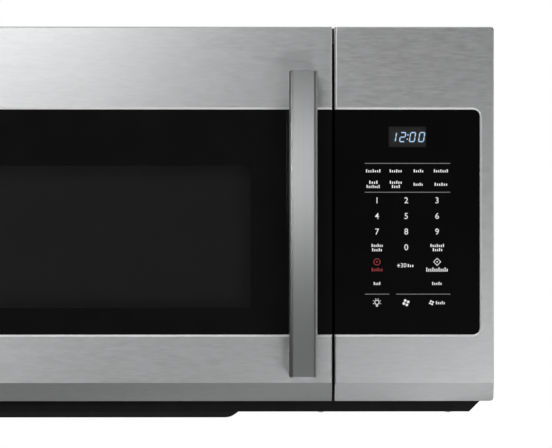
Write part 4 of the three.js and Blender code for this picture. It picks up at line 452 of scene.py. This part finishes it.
core_low, core_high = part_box("hv_transformer")
iron = finish("iron_core", Metallic=0.7, Roughness=0.5)
past_core = calc(iron, "GREATER_THAN", off(iron, axes(iron)["Y"], (core_low.y + core_high.y) / 2), CORE_END)
core_colour = colours(iron, bands(iron, "Y", SHEET_BANDS, 0.3), (0.3, grey(0.05)), (0.7, grey(0.17)))
wire_colour = colours(iron, bands(iron, "Z", WIRE_BANDS, 0.6), (0.2, (0.20, 0.06, 0.02)),
                      (0.8, (0.62, 0.26, 0.11)))
drive(iron, "Base Color",
      add(iron, "ShaderNodeMixRGB", None, past_core, core_colour, wire_colour).outputs[0])
coat(iron, "hv_transformer")
coat(aluminium, "hv_capacitor")
coat(black_plastic, "hv_diode")

board_green = finish("circuit_board", Roughness=0.35, IOR=1.5)
drive(board_green, "Base Color",
      add(board_green, "ShaderNodeTexBrick", {"offset": 0.37},
          Vector=place_in(board_green, turn=(math.pi / 2, 0, 0)), Scale=140, Mortar_Size=0.06,
          Color1=(0.010, 0.09, 0.035, 1), Color2=(0.012, 0.11, 0.045, 1),
          Mortar=(0.03, 0.20, 0.09, 1)).outputs[0])
coat(board_green, "noise_filter", "control_board")


# ---- Fans and blower ---------------------------------------------------------------------------------
# A small motor turns the cooling fan in its moulded shroud, and a double-ended one turns the two
# squirrel-cage wheels of the vent blower, each in its own galvanised scroll.
white_plastic = finish("white_plastic", Roughness=0.45, Subsurface_Weight=0.05)
mottle(white_plastic, 40, grey(0.62), grey(0.70, 0.01))
roughen(white_plastic, noise(white_plastic, 900), 0.00003)
spring_steel = finish("spring_steel", Metallic=1.0, Roughness=0.3)
mottle(spring_steel, 300, grey(0.40), grey(0.55), 3)
coat(black_plastic, "fan_shroud")
coat(iron, "fan_motor")
coat(white_plastic, "fan_blade")
coat(galvanised, "blower_housing", "blower_motor")
coat(aluminium, "blower_wheel_left", "blower_wheel_right")
coat(spring_steel, "blower_shaft")


# ---- Charcoal filter ---------------------------------------------------------------------------------
# A pad of black charcoal grains under the grille takes the smell out of air blown back to the room.
charcoal = finish("charcoal", Roughness=0.85)
grains = grains_of(charcoal, 450)
drive(charcoal, "Base Color", colours(charcoal, grains["Color"], (0.2, grey(0.010)), (0.8, grey(0.035))))
roughen(charcoal, grains["Distance"], 0.0008, 0.9)
coat(charcoal, "charcoal_filter")


# ---- Lamps -------------------------------------------------------------------------------------------
# One lamp lights the cavity through a row of holes, and one lights the cooktop through a frosted lens.
lens = finish("lamp_lens", Roughness=0.45, IOR=1.45, Transmission_Weight=0.6)
mottle(lens, 200, grey(0.80), grey(0.88), 3)
roughen(lens, grains_of(lens, 350)["Distance"], 0.0005, 0.6)
coat(white_plastic, "cavity_lamp")
coat(aluminium, "cooktop_lamp")
coat(lens, "cooktop_lens")


# ---- Grease filters ----------------------------------------------------------------------------------
# Two pads of aluminium mesh in pressed frames lie in the pan. Each face shows slit and stretched sheet,
# which opens into diamonds.
FILTER_RIM = 0.005  # frame's width
DIAMOND_WIDTH = 0.0062
DIAMOND_LENGTH = 0.0040
STRAND = 0.0007
MESH_RISE = 0.0019  # strands above the filter's grip, which hangs lowest
SWAY = 0.98  # of a cell, so that strands just touch


def vector(tree, **parts):
    return add(tree, "ShaderNodeCombineXYZ", **parts).outputs[0]


strands, given = tree_for("stretched_mesh", ("Width", "Float"), ("Length", "Float"), ("Across", "Int"),
                          ("Along", "Int"), ("Strand", "Float"), ("Finish", "Material"))
step = calc(strands, "DIVIDE", given["Length"], given["Along"])
cell = calc(strands, "DIVIDE", given["Width"], given["Across"])
odd = calc(strands, "MODULO", add(strands, "GeometryNodeInputIndex").outputs[0], 2.0)
sway = calc(strands, "MULTIPLY", calc(strands, "SUBTRACT", odd, 0.5), calc(strands, "MULTIPLY", cell, SWAY))
line = add(strands, "GeometryNodeMeshLine", None, Count=calc(strands, "ADD", given["Along"], 1.0),
           Offset=vector(strands, Y=step)).outputs[0]
zigzag = add(strands, "GeometryNodeSetPosition", None, line, Offset=vector(strands, X=sway)).outputs[0]
section = add(strands, "GeometryNodeCurvePrimitiveQuadrilateral", None, given["Strand"],
              given["Strand"]).outputs[0]
wire = add(strands, "GeometryNodeCurveToMesh", None,
           add(strands, "GeometryNodeMeshToCurve", None, zigzag).outputs[0], section).outputs[0]
rows = add(strands, "GeometryNodeMeshLine", None, Count=given["Across"],
           Offset=vector(strands, X=cell)).outputs[0]
# Every other strand is mirrored, so that neighbours touch at their bends.
flip = calc(strands, "SUBTRACT", 1.0, calc(strands, "MULTIPLY", odd, 2.0))
mirror = vector(strands, X=flip, Y=1.0, Z=1.0)
laid = add(strands, "GeometryNodeInstanceOnPoints", None, rows, Instance=wire, Scale=mirror).outputs[0]
close(strands, laid, given["Finish"])

for side in ("left", "right"):
    name = "grease_filter_" + side
    low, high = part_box(name)
    low = Vector((low.x + FILTER_RIM, low.y + FILTER_RIM, low.z))
    high = Vector((high.x - FILTER_RIM, high.y - FILTER_RIM, high.z))
    across = int((high.x - low.x) / DIAMOND_WIDTH * 2)
    mesh = grow("filter_mesh_" + side, strands, Width=high.x - low.x, Length=high.y - low.y, Across=across,
                Along=int((high.y - low.y) / DIAMOND_LENGTH), Strand=STRAND, Finish=aluminium)
    half_cell = (high.x - low.x) / across / 2
    mesh.transform(Matrix.Translation((low.x + half_cell, low.y, low.z + MESH_RISE)))
    piece("filter_mesh_" + side, mesh, None, "filter_" + side)
coat(aluminium, "grease_filter_left", "grease_filter_right")


# ---- Turntable ---------------------------------------------------------------------------------------
# A geared motor under the cavity turns a plastic coupler. It drives the glass tray, which runs on the
# three wheels of the roller ring.
tray_glass = finish("tray_glass", Roughness=0.05, IOR=1.5, Alpha=0.35)
mottle(tray_glass, 12, (0.72, 0.80, 0.78), (0.78, 0.85, 0.83))
coat(galvanised, "turntable_motor")
coat(white_plastic, "drive_coupler", "roller_ring", "roller_1", "roller_2", "roller_3")
coat(tray_glass, "glass_tray")


# ---- Door latch --------------------------------------------------------------------------------------
# A white moulding behind the front plate holds two switches, whose plungers the hooks of the door press.
# The key that carries the hooks has a coil spring above it in the door, which in the oven shortens as
# the key rises; here the coil rides on the door and keeps its length.
COIL_RADIUS = 0.003
COIL_WIRE = 0.0005  # radius
COIL_TURNS = 8.0
COIL_STEPS = 16  # to a turn
WIRE_SIDES = 6

coat(white_plastic, "latch_body", "latch_key", "switch_plunger_upper", "switch_plunger_lower")
coat(black_plastic, "interlock_switch_upper", "interlock_switch_lower")

coil, given = tree_for("coil", ("Radius", "Float"), ("Height", "Float"), ("Turns", "Float"),
                       ("Wire", "Float"), ("Finish", "Material"))
wound = add(coil, "GeometryNodeCurveSpiral", Resolution=COIL_STEPS, Rotations=given["Turns"],
            Start_Radius=given["Radius"], End_Radius=given["Radius"], Height=given["Height"]).outputs[0]
round_wire = add(coil, "GeometryNodeCurvePrimitiveCircle", Resolution=WIRE_SIDES,
                 Radius=given["Wire"]).outputs[0]
thick = add(coil, "GeometryNodeCurveToMesh", Curve=wound, Profile_Curve=round_wire, Fill_Caps=True)
close(coil, thick.outputs[0], given["Finish"])

spring_low, spring_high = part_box("latch_spring")
spring_room = spring_high.z - spring_low.z
coil_mesh = grow("latch_coil", coil, Radius=COIL_RADIUS, Height=spring_room - 2 * COIL_WIRE,
                 Turns=COIL_TURNS, Wire=COIL_WIRE, Finish=spring_steel)
spring_middle = (spring_low + spring_high) / 2
coil_mesh.transform(Matrix.Translation((spring_middle.x, spring_middle.y, spring_low.z + COIL_WIRE)))
latch_coil = piece("latch_coil", coil_mesh, None, "door")
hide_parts("latch_spring")
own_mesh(latch_coil)
coat(spring_steel, "latch_spring")


# ---- Door hinges, tray, seal and inner window --------------------------------------------------------
# The door swings on two galvanised hinges. Its inside is a black painted tray with a moulded cover over
# the microwave seal, round a sheet of clear glass that keeps food off the screen.
inner_glass = finish("inner_glass", Roughness=0.03, IOR=1.5, Alpha=0.18)
mottle(inner_glass, 8, grey(0.30), grey(0.36))
coat(galvanised, "hinge_upper", "hinge_lower")
coat(black_paint, "door_tray")
coat(black_plastic, "choke_cover")
coat(inner_glass, "inner_window")


# ---- Window screen -----------------------------------------------------------------------------------
# A thin steel sheet with upright rows of small holes, staggered as in a honeycomb and painted dark. The
# holes are far narrower than the microwaves are long, so light passes and they don't.
PITCH = 0.0029
HOLE = 0.0022  # across the flats
ROW_PITCH = PITCH * math.sqrt(0.75)
FIELD_MARGIN = 0.003  # holes past the window's edges
RIM_LIFT = 0.00005  # the rim behind the field of holes

window_low = Vector((-0.300, 0, -0.0905))
window_high = Vector((0.124, 0, 0.0595))
screen_low, screen_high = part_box("window_screen")
screen_paint = finish("screen_paint", Roughness=0.5, Metallic=0.2)
mottle(screen_paint, 200, grey(0.20), grey(0.26))


def screen_cell():
    """The steel between a hole and half of its neighbours: three bridges and two three-way joints."""
    corner = HOLE / math.sqrt(3)
    points, faces = [], []

    def corner_of(centre, number):
        angle = math.radians(30 + 60 * number)
        return (centre[0] + corner * math.cos(angle), centre[1] + corner * math.sin(angle), 0)

    def face(*corners):
        faces.append(tuple(range(len(points), len(points) + len(corners))))
        points.extend(corners)

    here = (0, 0)
    near = [(PITCH * math.cos(turn), PITCH * math.sin(turn)) for turn in (0, math.pi / 3, math.pi * 2 / 3)]
    for i, other in enumerate(near):
        face(corner_of(here, i - 1), corner_of(other, i + 3), corner_of(other, i + 2), corner_of(here, i))
    face(corner_of(here, 0), corner_of(near[0], 2), corner_of(near[1], 4))
    face(corner_of(here, 1), corner_of(near[1], 3), corner_of(near[2], 5))
    return new_mesh("screen_cell", points, faces)


honeycomb, given = tree_for("honeycomb", ("Cell", "Object"), ("Pitch", "Float"), ("Columns", "Int"),
                            ("Rows", "Int"), ("Finish", "Material"))
row_pitch = calc(honeycomb, "MULTIPLY", given["Pitch"], math.sqrt(0.75))
width = calc(honeycomb, "MULTIPLY", calc(honeycomb, "SUBTRACT", given["Columns"], 1.0), given["Pitch"])
height = calc(honeycomb, "MULTIPLY", calc(honeycomb, "SUBTRACT", given["Rows"], 1.0), row_pitch)
grid = add(honeycomb, "GeometryNodeMeshGrid", None, width, height, given["Columns"],
           given["Rows"]).outputs[0]
up = add(honeycomb, "ShaderNodeSeparateXYZ", None,
         add(honeycomb, "GeometryNodeInputPosition").outputs[0]).outputs["Y"]
from_bottom = calc(honeycomb, "ADD", up, calc(honeycomb, "DIVIDE", height, 2.0))
in_odd_row = calc(honeycomb, "DIVIDE", calc(honeycomb, "PINGPONG", from_bottom, row_pitch), row_pitch)
aside = calc(honeycomb, "MULTIPLY", in_odd_row, calc(honeycomb, "DIVIDE", given["Pitch"], 2.0))
staggered = add(honeycomb, "GeometryNodeSetPosition", None, grid,
                Offset=vector(honeycomb, X=aside)).outputs[0]
cells = add(honeycomb, "GeometryNodeInstanceOnPoints", None, staggered,
            Instance=add(honeycomb, "GeometryNodeObjectInfo", None, given["Cell"]).outputs["Geometry"])
close(honeycomb, cells.outputs[0], given["Finish"])

cell_pattern = piece("cell_pattern", screen_cell(), None, None)
holes_up = int((window_high.z - window_low.z + 2 * FIELD_MARGIN) / PITCH)
rows_across = int((window_high.x - window_low.x + 2 * FIELD_MARGIN) / ROW_PITCH)
screen_mesh = grow("screen_field", honeycomb, Cell=cell_pattern, Pitch=PITCH, Columns=holes_up,
                   Rows=rows_across, Finish=screen_paint)
bpy.data.objects.remove(cell_pattern)
window_middle = (window_low + window_high) / 2
screen_mesh.transform(Matrix.Translation((window_middle.x, screen_low.y, window_middle.z)) @
                      Matrix.Rotation(math.pi / 2, 4, "X") @ Matrix.Rotation(math.pi / 2, 4, "Z"))
screen = bmesh.new()
screen.from_mesh(screen_mesh)
# The plain rim of the sheet, a ring with the sheet's thickness round the field of holes.
outline = (screen_low.x, screen_high.x, screen_low.z, screen_high.z)
opening = (window_low.x - FIELD_MARGIN / 2, window_high.x + FIELD_MARGIN / 2,
           window_low.z - FIELD_MARGIN / 2, window_high.z + FIELD_MARGIN / 2)
loops = []
for (x0, x1, z0, z1), y in ((outline, screen_low.y), (outline, screen_high.y), (opening, screen_high.y),
                            (opening, screen_low.y)):
    loops.append([screen.verts.new((x, y + RIM_LIFT, z))
                  for x, z in ((x0, z0), (x1, z0), (x1, z1), (x0, z1))])
for one, other in zip(loops, loops[1:] + loops[:1]):
    for i in range(4):
        screen.faces.new((one[i], other[i], other[(i + 1) % 4], one[(i + 1) % 4]))
screen_whole = bpy.data.meshes.new("window_screen_holes")
screen.to_mesh(screen_whole)
screen.free()
screen_piece = piece("window_screen_holes", screen_whole, screen_paint, "door")
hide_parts("window_screen")
coat(screen_paint, "window_screen")


# ---- Door glass and panel glass ----------------------------------------------------------------------
# Toughened glass, printed black on its back. The print thins to a fine tint over the door's window and
# over the clock, so that what lies behind shows there.
PHOTO_WIDTH, PHOTO_HEIGHT = 552, 448
PIXEL = PICTURE_WIDTH / PHOTO_WIDTH  # of the photograph, on the oven's face


def from_photo(across, down):
    """A place on the oven's face, across and up, from where the photograph shows it."""
    return (PICTURE_X + (across - PHOTO_WIDTH / 2) * PIXEL, PICTURE_Z - (down - PHOTO_HEIGHT / 2) * PIXEL)


def printed_glass(name, window, clear, roughness, black):
    """Black glass that is clearer within its window, which is given across X and then Z."""
    material = finish(name, Roughness=roughness, IOR=1.5)
    mottle(material, 30, grey(black), grey(black * 1.3))
    parts = axes(material)
    within = [calc(material, "LESS_THAN", off(material, parts[axis], (low + high) / 2), (high - low) / 2)
              for axis, (low, high) in zip("XZ", window)]
    drive(material, "Alpha", span(material, calc(material, "MULTIPLY", *within), 1.0, clear))
    return material


door_window = ((window_low.x, window_high.x), (window_low.z, window_high.z))
clock_window = tuple(zip(from_photo(388.7, 147.2), from_photo(426.9, 126.4)))
coat(printed_glass("door_glass_print", door_window, clear=0.45, roughness=0.05, black=0.006), "door_glass")
coat(printed_glass("panel_glass_print", clock_window, clear=0.3, roughness=0.14, black=0.002), "panel_glass")
coat(black_plastic, "panel_housing")


# ---- Door and panel skins ----------------------------------------------------------------------------
# Pressed from stainless sheet and brushed along the width, with rolled edges round the glass and a lower
# strip that leans back. The rolled edges are painted white, a painted highlight, and the lower strip is
# painted darker, a painted shade.
EDGE_WIDTH = 0.0021
EDGE_CORNER = 0.008
EDGE_ROUGHNESS = 0.75  # with the edge painted white, a painted highlight that shows from all round, as on a rolled edge
GLASS_HELD = 0.006  # glass behind the steel
STRIP_TOP = -0.1687  # where the lower strip begins to lean back
SCRATCH_SHARE = 0.85  # of the grain, and the rest is clouds
panel_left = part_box("panel_skin")[0].x


def edge_highlight_mask(material, low_x, high_x, low_z, high_z):
    """Where the painted highlight goes: one along the rolled edge round the glass, which is a rounded box
    across X and Z, and along the panel's edge above it, beside the gap. Nought elsewhere."""
    parts = axes(material)
    beyond = []
    for axis, low, high in (("X", low_x, high_x), ("Z", low_z, high_z)):
        away = off(material, parts[axis], (low + high) / 2)
        past = calc(material, "SUBTRACT", away, (high - low) / 2 - EDGE_CORNER)
        beyond.append(calc(material, "POWER", calc(material, "MAXIMUM", past, 0.0), 2.0))
    distance = calc(material, "SQRT", calc(material, "ADD", *beyond))
    from_edge = off(material, distance, EDGE_CORNER + EDGE_WIDTH / 2)
    # Beside the gap the painted highlight runs only above the glass.
    beside_gap = calc(material, "MULTIPLY",
                      calc(material, "LESS_THAN", off(material, parts["X"], panel_left), EDGE_WIDTH),
                      calc(material, "GREATER_THAN", parts["Z"], high_z))
    return calc(material, "MAXIMUM", calc(material, "LESS_THAN", from_edge, EDGE_WIDTH / 2), beside_gap)


def paint_shade(material, where, tone):
    """Paints shade: darkens the colour wherever a mask is one."""
    colour = inputs_of(material)["Base Color"].links[0].from_socket
    dimmed = add(material, "ShaderNodeMixRGB", {"blend_type": "MULTIPLY"}, where, colour, (*grey(tone), 1))
    drive(material, "Base Color", dimmed.outputs[0])


def brushed(name, stretch, streaks, rotation, spread, gloss, tones, edge=None):
    """Stainless brushed one way: long scratches and slow clouds, and a highlight spread across them. A
    rolled edge is painted white and made rougher, a painted highlight."""
    material = finish(name, Metallic=1.0, Anisotropic=spread, Anisotropic_Rotation=rotation)
    scratches = noise(material, 1.0, 4, 0.6, stretch)
    clouds = noise(material, 1.0, 2, 0.5, streaks)
    grain = calc(material, "ADD", calc(material, "MULTIPLY", scratches, SCRATCH_SHARE),
                 calc(material, "MULTIPLY", clouds, 1 - SCRATCH_SHARE))
    colour = colours(material, grain, (0.3, grey(tones[0], -0.01)), (0.7, grey(tones[1], -0.01)))
    shine = span(material, scratches, *gloss)
    if edge:
        # The rolled edge's colour is painted white: a painted highlight.
        rolled = edge_highlight_mask(material, *edge)
        colour = add(material, "ShaderNodeMixRGB", None, rolled, colour, (1, 1, 1, 1)).outputs[0]
        shine = calc(material, "MAXIMUM", shine, calc(material, "MULTIPLY", rolled, EDGE_ROUGHNESS))
    drive(material, "Base Color", colour)
    drive(material, "Roughness", shine)
    roughen(material, scratches, 0.00002, 0.2)
    around = add(material, "ShaderNodeTangent", {"direction_type": "RADIAL", "axis": "Z"}).outputs[0]
    drive(material, "Tangent", around)
    return material


# The opening has three sides on each skin, and runs past the gap between them.
for name, edge_x, strip in (("door", (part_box("door_glass")[0].x + GLASS_HELD, 1.0), 0.48),
                            ("panel", (-1.0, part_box("panel_glass")[1].x - GLASS_HELD), 0.9)):
    low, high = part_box(name + "_glass")
    edge = (*edge_x, low.z + GLASS_HELD, high.z - GLASS_HELD)
    steel = brushed(name + "_steel", stretch=(90, 900, 650), streaks=(3, 8, 14), rotation=0.25, spread=0.55,
                    gloss=(0.28, 0.40), tones=(0.595, 0.665), edge=edge)
    # The lower strip is painted darker, a painted shade: much darker on the door, a little on the panel.
    paint_shade(steel, calc(steel, "LESS_THAN", axes(steel)["Z"], STRIP_TOP), strip)
    coat(steel, name + "_skin")


# ---- Handle ------------------------------------------------------------------------------------------
# A solid stainless bar brushed along its length, on two posts that screw to the door from behind.
HANDLE_FLAT = 0.0215  # of its width, between the rounded sides
SIDE_SHADE = 0.55  # painted shade on the rounded sides, as a share of the flat's tone

handle_steel = brushed("handle_steel", stretch=(1500, 1500, 10), streaks=(14, 8, 3), rotation=0.0,
                       spread=0.95, gloss=(0.31, 0.35), tones=(0.61, 0.65))
bar_low, bar_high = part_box("handle_bar")
from_middle = off(handle_steel, axes(handle_steel)["X"], (bar_low.x + bar_high.x) / 2)
# The rounded sides are painted darker than the flat: painted shade.
paint_shade(handle_steel, calc(handle_steel, "GREATER_THAN", from_middle, HANDLE_FLAT / 2), SIDE_SHADE)
coat(handle_steel, "handle_bar", "handle_post_upper", "handle_post_lower")


# ---- Clock -------------------------------------------------------------------------------------------
# Seven-segment figures in pale blue glow behind the panel glass, leaning a little to the right.
FIGURE_HEIGHT = 0.0095
FIGURE_WIDTH = 0.0052
SEGMENT = 0.0011
SEGMENT_GAP = 0.12  # of a segment's thickness, at each end
FIGURE_LEAN = 0.16
FIGURE_RISE = 0.00015  # figures before the display's face
COLON_RISE = 0.0022  # a dot from the middle
COLON_DOT = 0.55  # half a dot's width, in segments


def flat_mesh(name, outlines, y):
    """Flat shapes that face the cook, from outlines of x and z that run anticlockwise."""
    points = [(x, y, z) for outline in outlines for x, z in outline]
    faces, start = [], 0
    for outline in outlines:
        faces.append(tuple(range(start, start + len(outline))))
        start += len(outline)
    return new_mesh(name, points, faces)


def segment(x0, z0, x1, z1):
    """A bar with pointed ends between two points, upright or level."""
    across = Vector((x1 - x0, z1 - z0)).normalized() * SEGMENT
    aside = Vector((-across.y, across.x)) / 2
    tip = across / 2
    a, b = Vector((x0, z0)) + across * SEGMENT_GAP, Vector((x1, z1)) - across * SEGMENT_GAP
    return [tuple(a), tuple(a + tip - aside), tuple(b - tip - aside), tuple(b), tuple(b - tip + aside),
            tuple(a + tip + aside)]


def figure(lit, x, z):
    """One figure from the names of its lit segments, clockwise from the top, then the middle one."""
    w, h = FIGURE_WIDTH / 2, FIGURE_HEIGHT / 2
    ends = {"a": (-w, h, w, h), "b": (w, 0, w, h), "c": (w, -h, w, 0), "d": (-w, -h, w, -h),
            "e": (-w, -h, -w, 0), "f": (-w, 0, -w, h), "g": (-w, 0, w, 0)}
    return [[(x + px + FIGURE_LEAN * pz, z + pz) for px, pz in segment(*ends[name])] for name in lit]


clock_z = from_photo(0, 136.9)[1]
clock_shapes = []
for lit, across in (("bc", 393.9), ("abged", 403.2), ("abcdef", 413.0), ("abcdef", 422.2)):
    clock_shapes += figure(lit, from_photo(across, 0)[0], clock_z)
for rise in (-COLON_RISE, COLON_RISE):
    x, z = from_photo(408.1, 0)[0] + rise * FIGURE_LEAN, clock_z + rise
    half = SEGMENT * COLON_DOT
    clock_shapes.append([(x + half * across, z + half * up)
                         for across, up in ((-1, -1), (1, -1), (1, 1), (-1, 1))])
display_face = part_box("display_module")[0].y
blue_glow = finish("clock_blue", Roughness=0.5, Base_Color=(0.10, 0.16, 0.22, 1), Emission_Strength=2.1)
drive(blue_glow, "Emission Color", colours(blue_glow, noise(blue_glow, 900), (0.3, (0.36, 0.56, 0.80)),
                                           (0.7, (0.46, 0.66, 0.90))))
piece("clock_figures", flat_mesh("clock_figures", clock_shapes, display_face - FIGURE_RISE), blue_glow,
      "root")
grey_screen = finish("clock_screen", Roughness=0.4)
mottle(grey_screen, 500, grey(0.10), grey(0.13))
coat(grey_screen, "display_module")


# ---- Print on the panel glass ------------------------------------------------------------------------
# Touch keys, screen printed on the glass in pale grey: figures, signs and thin rules. Where such a panel
# has words, rows of short strokes stand for them. Marks are placed and sized in the photograph's pixels.
PRINT_HEIGHT = 0.00004  # print on the glass
RULE = 0.0008
STROKE_PITCH = 2.1  # pixels
STROKE_SHARE = 0.52  # of the pitch
SHORT_STROKE = 0.7  # of a tall one
BLADE_OUT = 0.58  # a blade's middle from the hub, as a share of the fan's radius
BLADE_ROUND = 0.36  # a blade's own radius, as the same share
BLADE_TURN = 0.35
CAPITAL = 0.72  # height of a figure, as a share of the type's size
INK_SPREAD = 0.00002

print_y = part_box("panel_glass")[0].y - PRINT_HEIGHT


def bar(across, down, wide, high):
    """An upright bar, from its middle and size."""
    x, z = from_photo(across, down)
    w, h = wide * PIXEL / 2, high * PIXEL / 2
    return [(x - w, z - h), (x + w, z - h), (x + w, z + h), (x - w, z + h)]


def word(across, down, wide, high=3.1):
    """Short strokes in a row, of two heights, in place of a word."""
    count = max(2, round(wide / STROKE_PITCH))
    pitch = wide / count
    shapes = []
    for i in range(count):
        tall = high if i % 3 == 0 else high * SHORT_STROKE
        middle = across - wide / 2 + pitch * (i + 0.5)
        shapes.append(bar(middle, down + (high - tall) / 2, pitch * STROKE_SHARE, tall))
    return shapes


def ring(across, down, radius, thick, sides, turn=0.0):
    """A ring of straight sides, as quads."""
    x, z = from_photo(across, down)
    outer, inner = [], []
    for i in range(sides):
        angle = turn + 2 * math.pi * i / sides
        for row, r in ((outer, radius * PIXEL), (inner, (radius - thick) * PIXEL)):
            row.append((x + r * math.cos(angle), z + r * math.sin(angle)))
    return [[inner[i], outer[i], outer[(i + 1) % sides], inner[(i + 1) % sides]] for i in range(sides)]


def ray(across, down, angle, start, end, thick):
    """A stroke that points away from a middle."""
    x, z = from_photo(across, down)
    way = Vector((math.cos(angle), math.sin(angle)))
    aside = Vector((-way.y, way.x)) * thick * PIXEL / 2
    a, b = Vector((x, z)) + way * start * PIXEL, Vector((x, z)) + way * end * PIXEL
    return [tuple(a - aside), tuple(b - aside), tuple(b + aside), tuple(a + aside)]


def fan_sign(across, down, radius):
    """Four rounded blades round a hub."""
    x, z = from_photo(across, down)
    size = radius * BLADE_ROUND * PIXEL
    shapes = []
    for quarter in range(4):
        turn = quarter * math.pi / 2 + BLADE_TURN
        middle = Vector((math.cos(turn), math.sin(turn))) * radius * BLADE_OUT * PIXEL
        shapes.append([(x + middle.x + size * math.cos(i * math.pi / 4),
                        z + middle.y + size * math.sin(i * math.pi / 4)) for i in range(8)])
    return shapes


def lettered(text, across, down, high):
    """The outline of generic figures, filled, as a flat mesh on the glass."""
    curve = bpy.data.curves.new("figures", "FONT")
    curve.body = text
    curve.size = high * PIXEL / CAPITAL
    curve.align_x = "CENTER"
    curve.align_y = "CENTER"
    curve.offset = INK_SPREAD
    curve.resolution_u = 3
    typed = bpy.data.objects.new("figures", curve)
    bpy.context.scene.collection.objects.link(typed)
    mesh = bpy.data.meshes.new_from_object(typed.evaluated_get(bpy.context.evaluated_depsgraph_get()))
    bpy.data.objects.remove(typed)
    x, z = from_photo(across, down)
    mesh.transform(Matrix.Translation((x, print_y, z)) @ Matrix.Rotation(math.pi / 2, 4, "X"))
    return mesh


def printed(name, outlines, figures, material):
    """All the print of one colour as one piece."""
    whole = bmesh.new()
    for mesh in [flat_mesh(name, outlines, print_y)] + figures:
        whole.from_mesh(mesh)
    mesh = bpy.data.meshes.new(name)
    whole.to_mesh(mesh)
    whole.free()
    piece(name, mesh, material, "root")


marks = []
for across, down, wide in (
        (373.4, 170.8, 15.4), (395.9, 170.8, 13.0), (418.7, 170.8, 10.4), (441.2, 170.8, 15.0),
        (373.6, 182.2, 9.4), (373.3, 186.4, 14.0), (396.0, 182.2, 12.8), (396.1, 186.4, 9.0),
        (418.4, 184.2, 10.0), (441.2, 184.2, 13.6), (377.3, 245.4, 12.0), (377.2, 249.8, 10.8),
        (437.5, 245.5, 14.4), (437.8, 249.7, 10.4), (377.2, 283.5, 7.4), (437.2, 283.5, 10.4),
        (410.8, 265.6, 6.6), (440.6, 302.8, 9.6)):
    marks += word(across, down, wide)
marks += word(437.3, 269.6, 22.4, 4.2)
marks += ring(437.5, 261.9, 4.0, 0.9, 4)
marks += [[from_photo(437.5 + 0.9 * x, 261.9 - 0.9 * z) for x, z in ((0, -1), (1, 0), (0, 1), (-1, 0))]]
marks += [bar(398.9, 265.6, 3.0, 1.0), bar(398.9, 266.9, 1.0, 0.9), bar(398.9, 264.3, 1.0, 0.9)]
marks += ring(377.2, 302.4, 2.6, 0.8, 10)
marks += [bar(377.2, 306.0, 2.2, 1.2)]
marks += [ray(377.2, 302.4, math.radians(turn), 3.1, 4.2, 0.6) for turn in (-20, 25, 70, 110, 155, 200)]
marks += fan_sign(406.3, 302.8, 4.0)
marks += fan_sign(431.8, 302.8, 2.8)
digits = [lettered(text, across, down, 6.2)
          for row, down in (("123", 200.6), ("456", 216.3), ("789", 231.9))
          for text, across in zip(row, (377.2, 406.5, 437.4))]
digits += [lettered("0", 406.5, 247.6, 6.2), lettered("30", 403.8, 265.6, 4.4)]
# The pale print glows a little, though it is no lamp: painted light.
pale_ink_painted_glow = finish("pale_print", Roughness=0.55, Emission_Strength=0.35)
drive(pale_ink_painted_glow, "Emission Color", mottle(pale_ink_painted_glow, 600, grey(0.72), grey(0.82)))
printed("panel_marks", marks, digits, pale_ink_painted_glow)

rules = [bar(407.8, 163.3, 85.7, RULE / PIXEL), bar(407.8, 192.2, 85.7, RULE / PIXEL),
         bar(377.3, 294.2, 24.6, RULE / PIXEL), bar(423.6, 294.2, 54.1, RULE / PIXEL)]
rule_ink = finish("grey_print", Roughness=0.55)
mottle(rule_ink, 600, grey(0.20), grey(0.26))
printed("panel_rules", rules, [], rule_ink)

stop_marks = ring(377.2, 261.9, 3.7, 0.8, 8, math.pi / 8) + word(377.3, 269.5, 11.6, 3.6)
stop_marks += [bar(377.2, 261.9, 1.2, 1.8)]
# The red print glows a little, though it is no lamp: painted light.
red_ink_painted_glow = finish("red_print", Roughness=0.55, Emission_Strength=0.15)
drive(red_ink_painted_glow, "Emission Color", mottle(red_ink_painted_glow, 600, (0.30, 0.02, 0.025), (0.38, 0.03, 0.035)))
printed("stop_mark", stop_marks, [], red_ink_painted_glow)


# ---- Last steps --------------------------------------------------------------------------------------
# The pattern for the screws goes.
bpy.data.objects.remove(head_pattern)
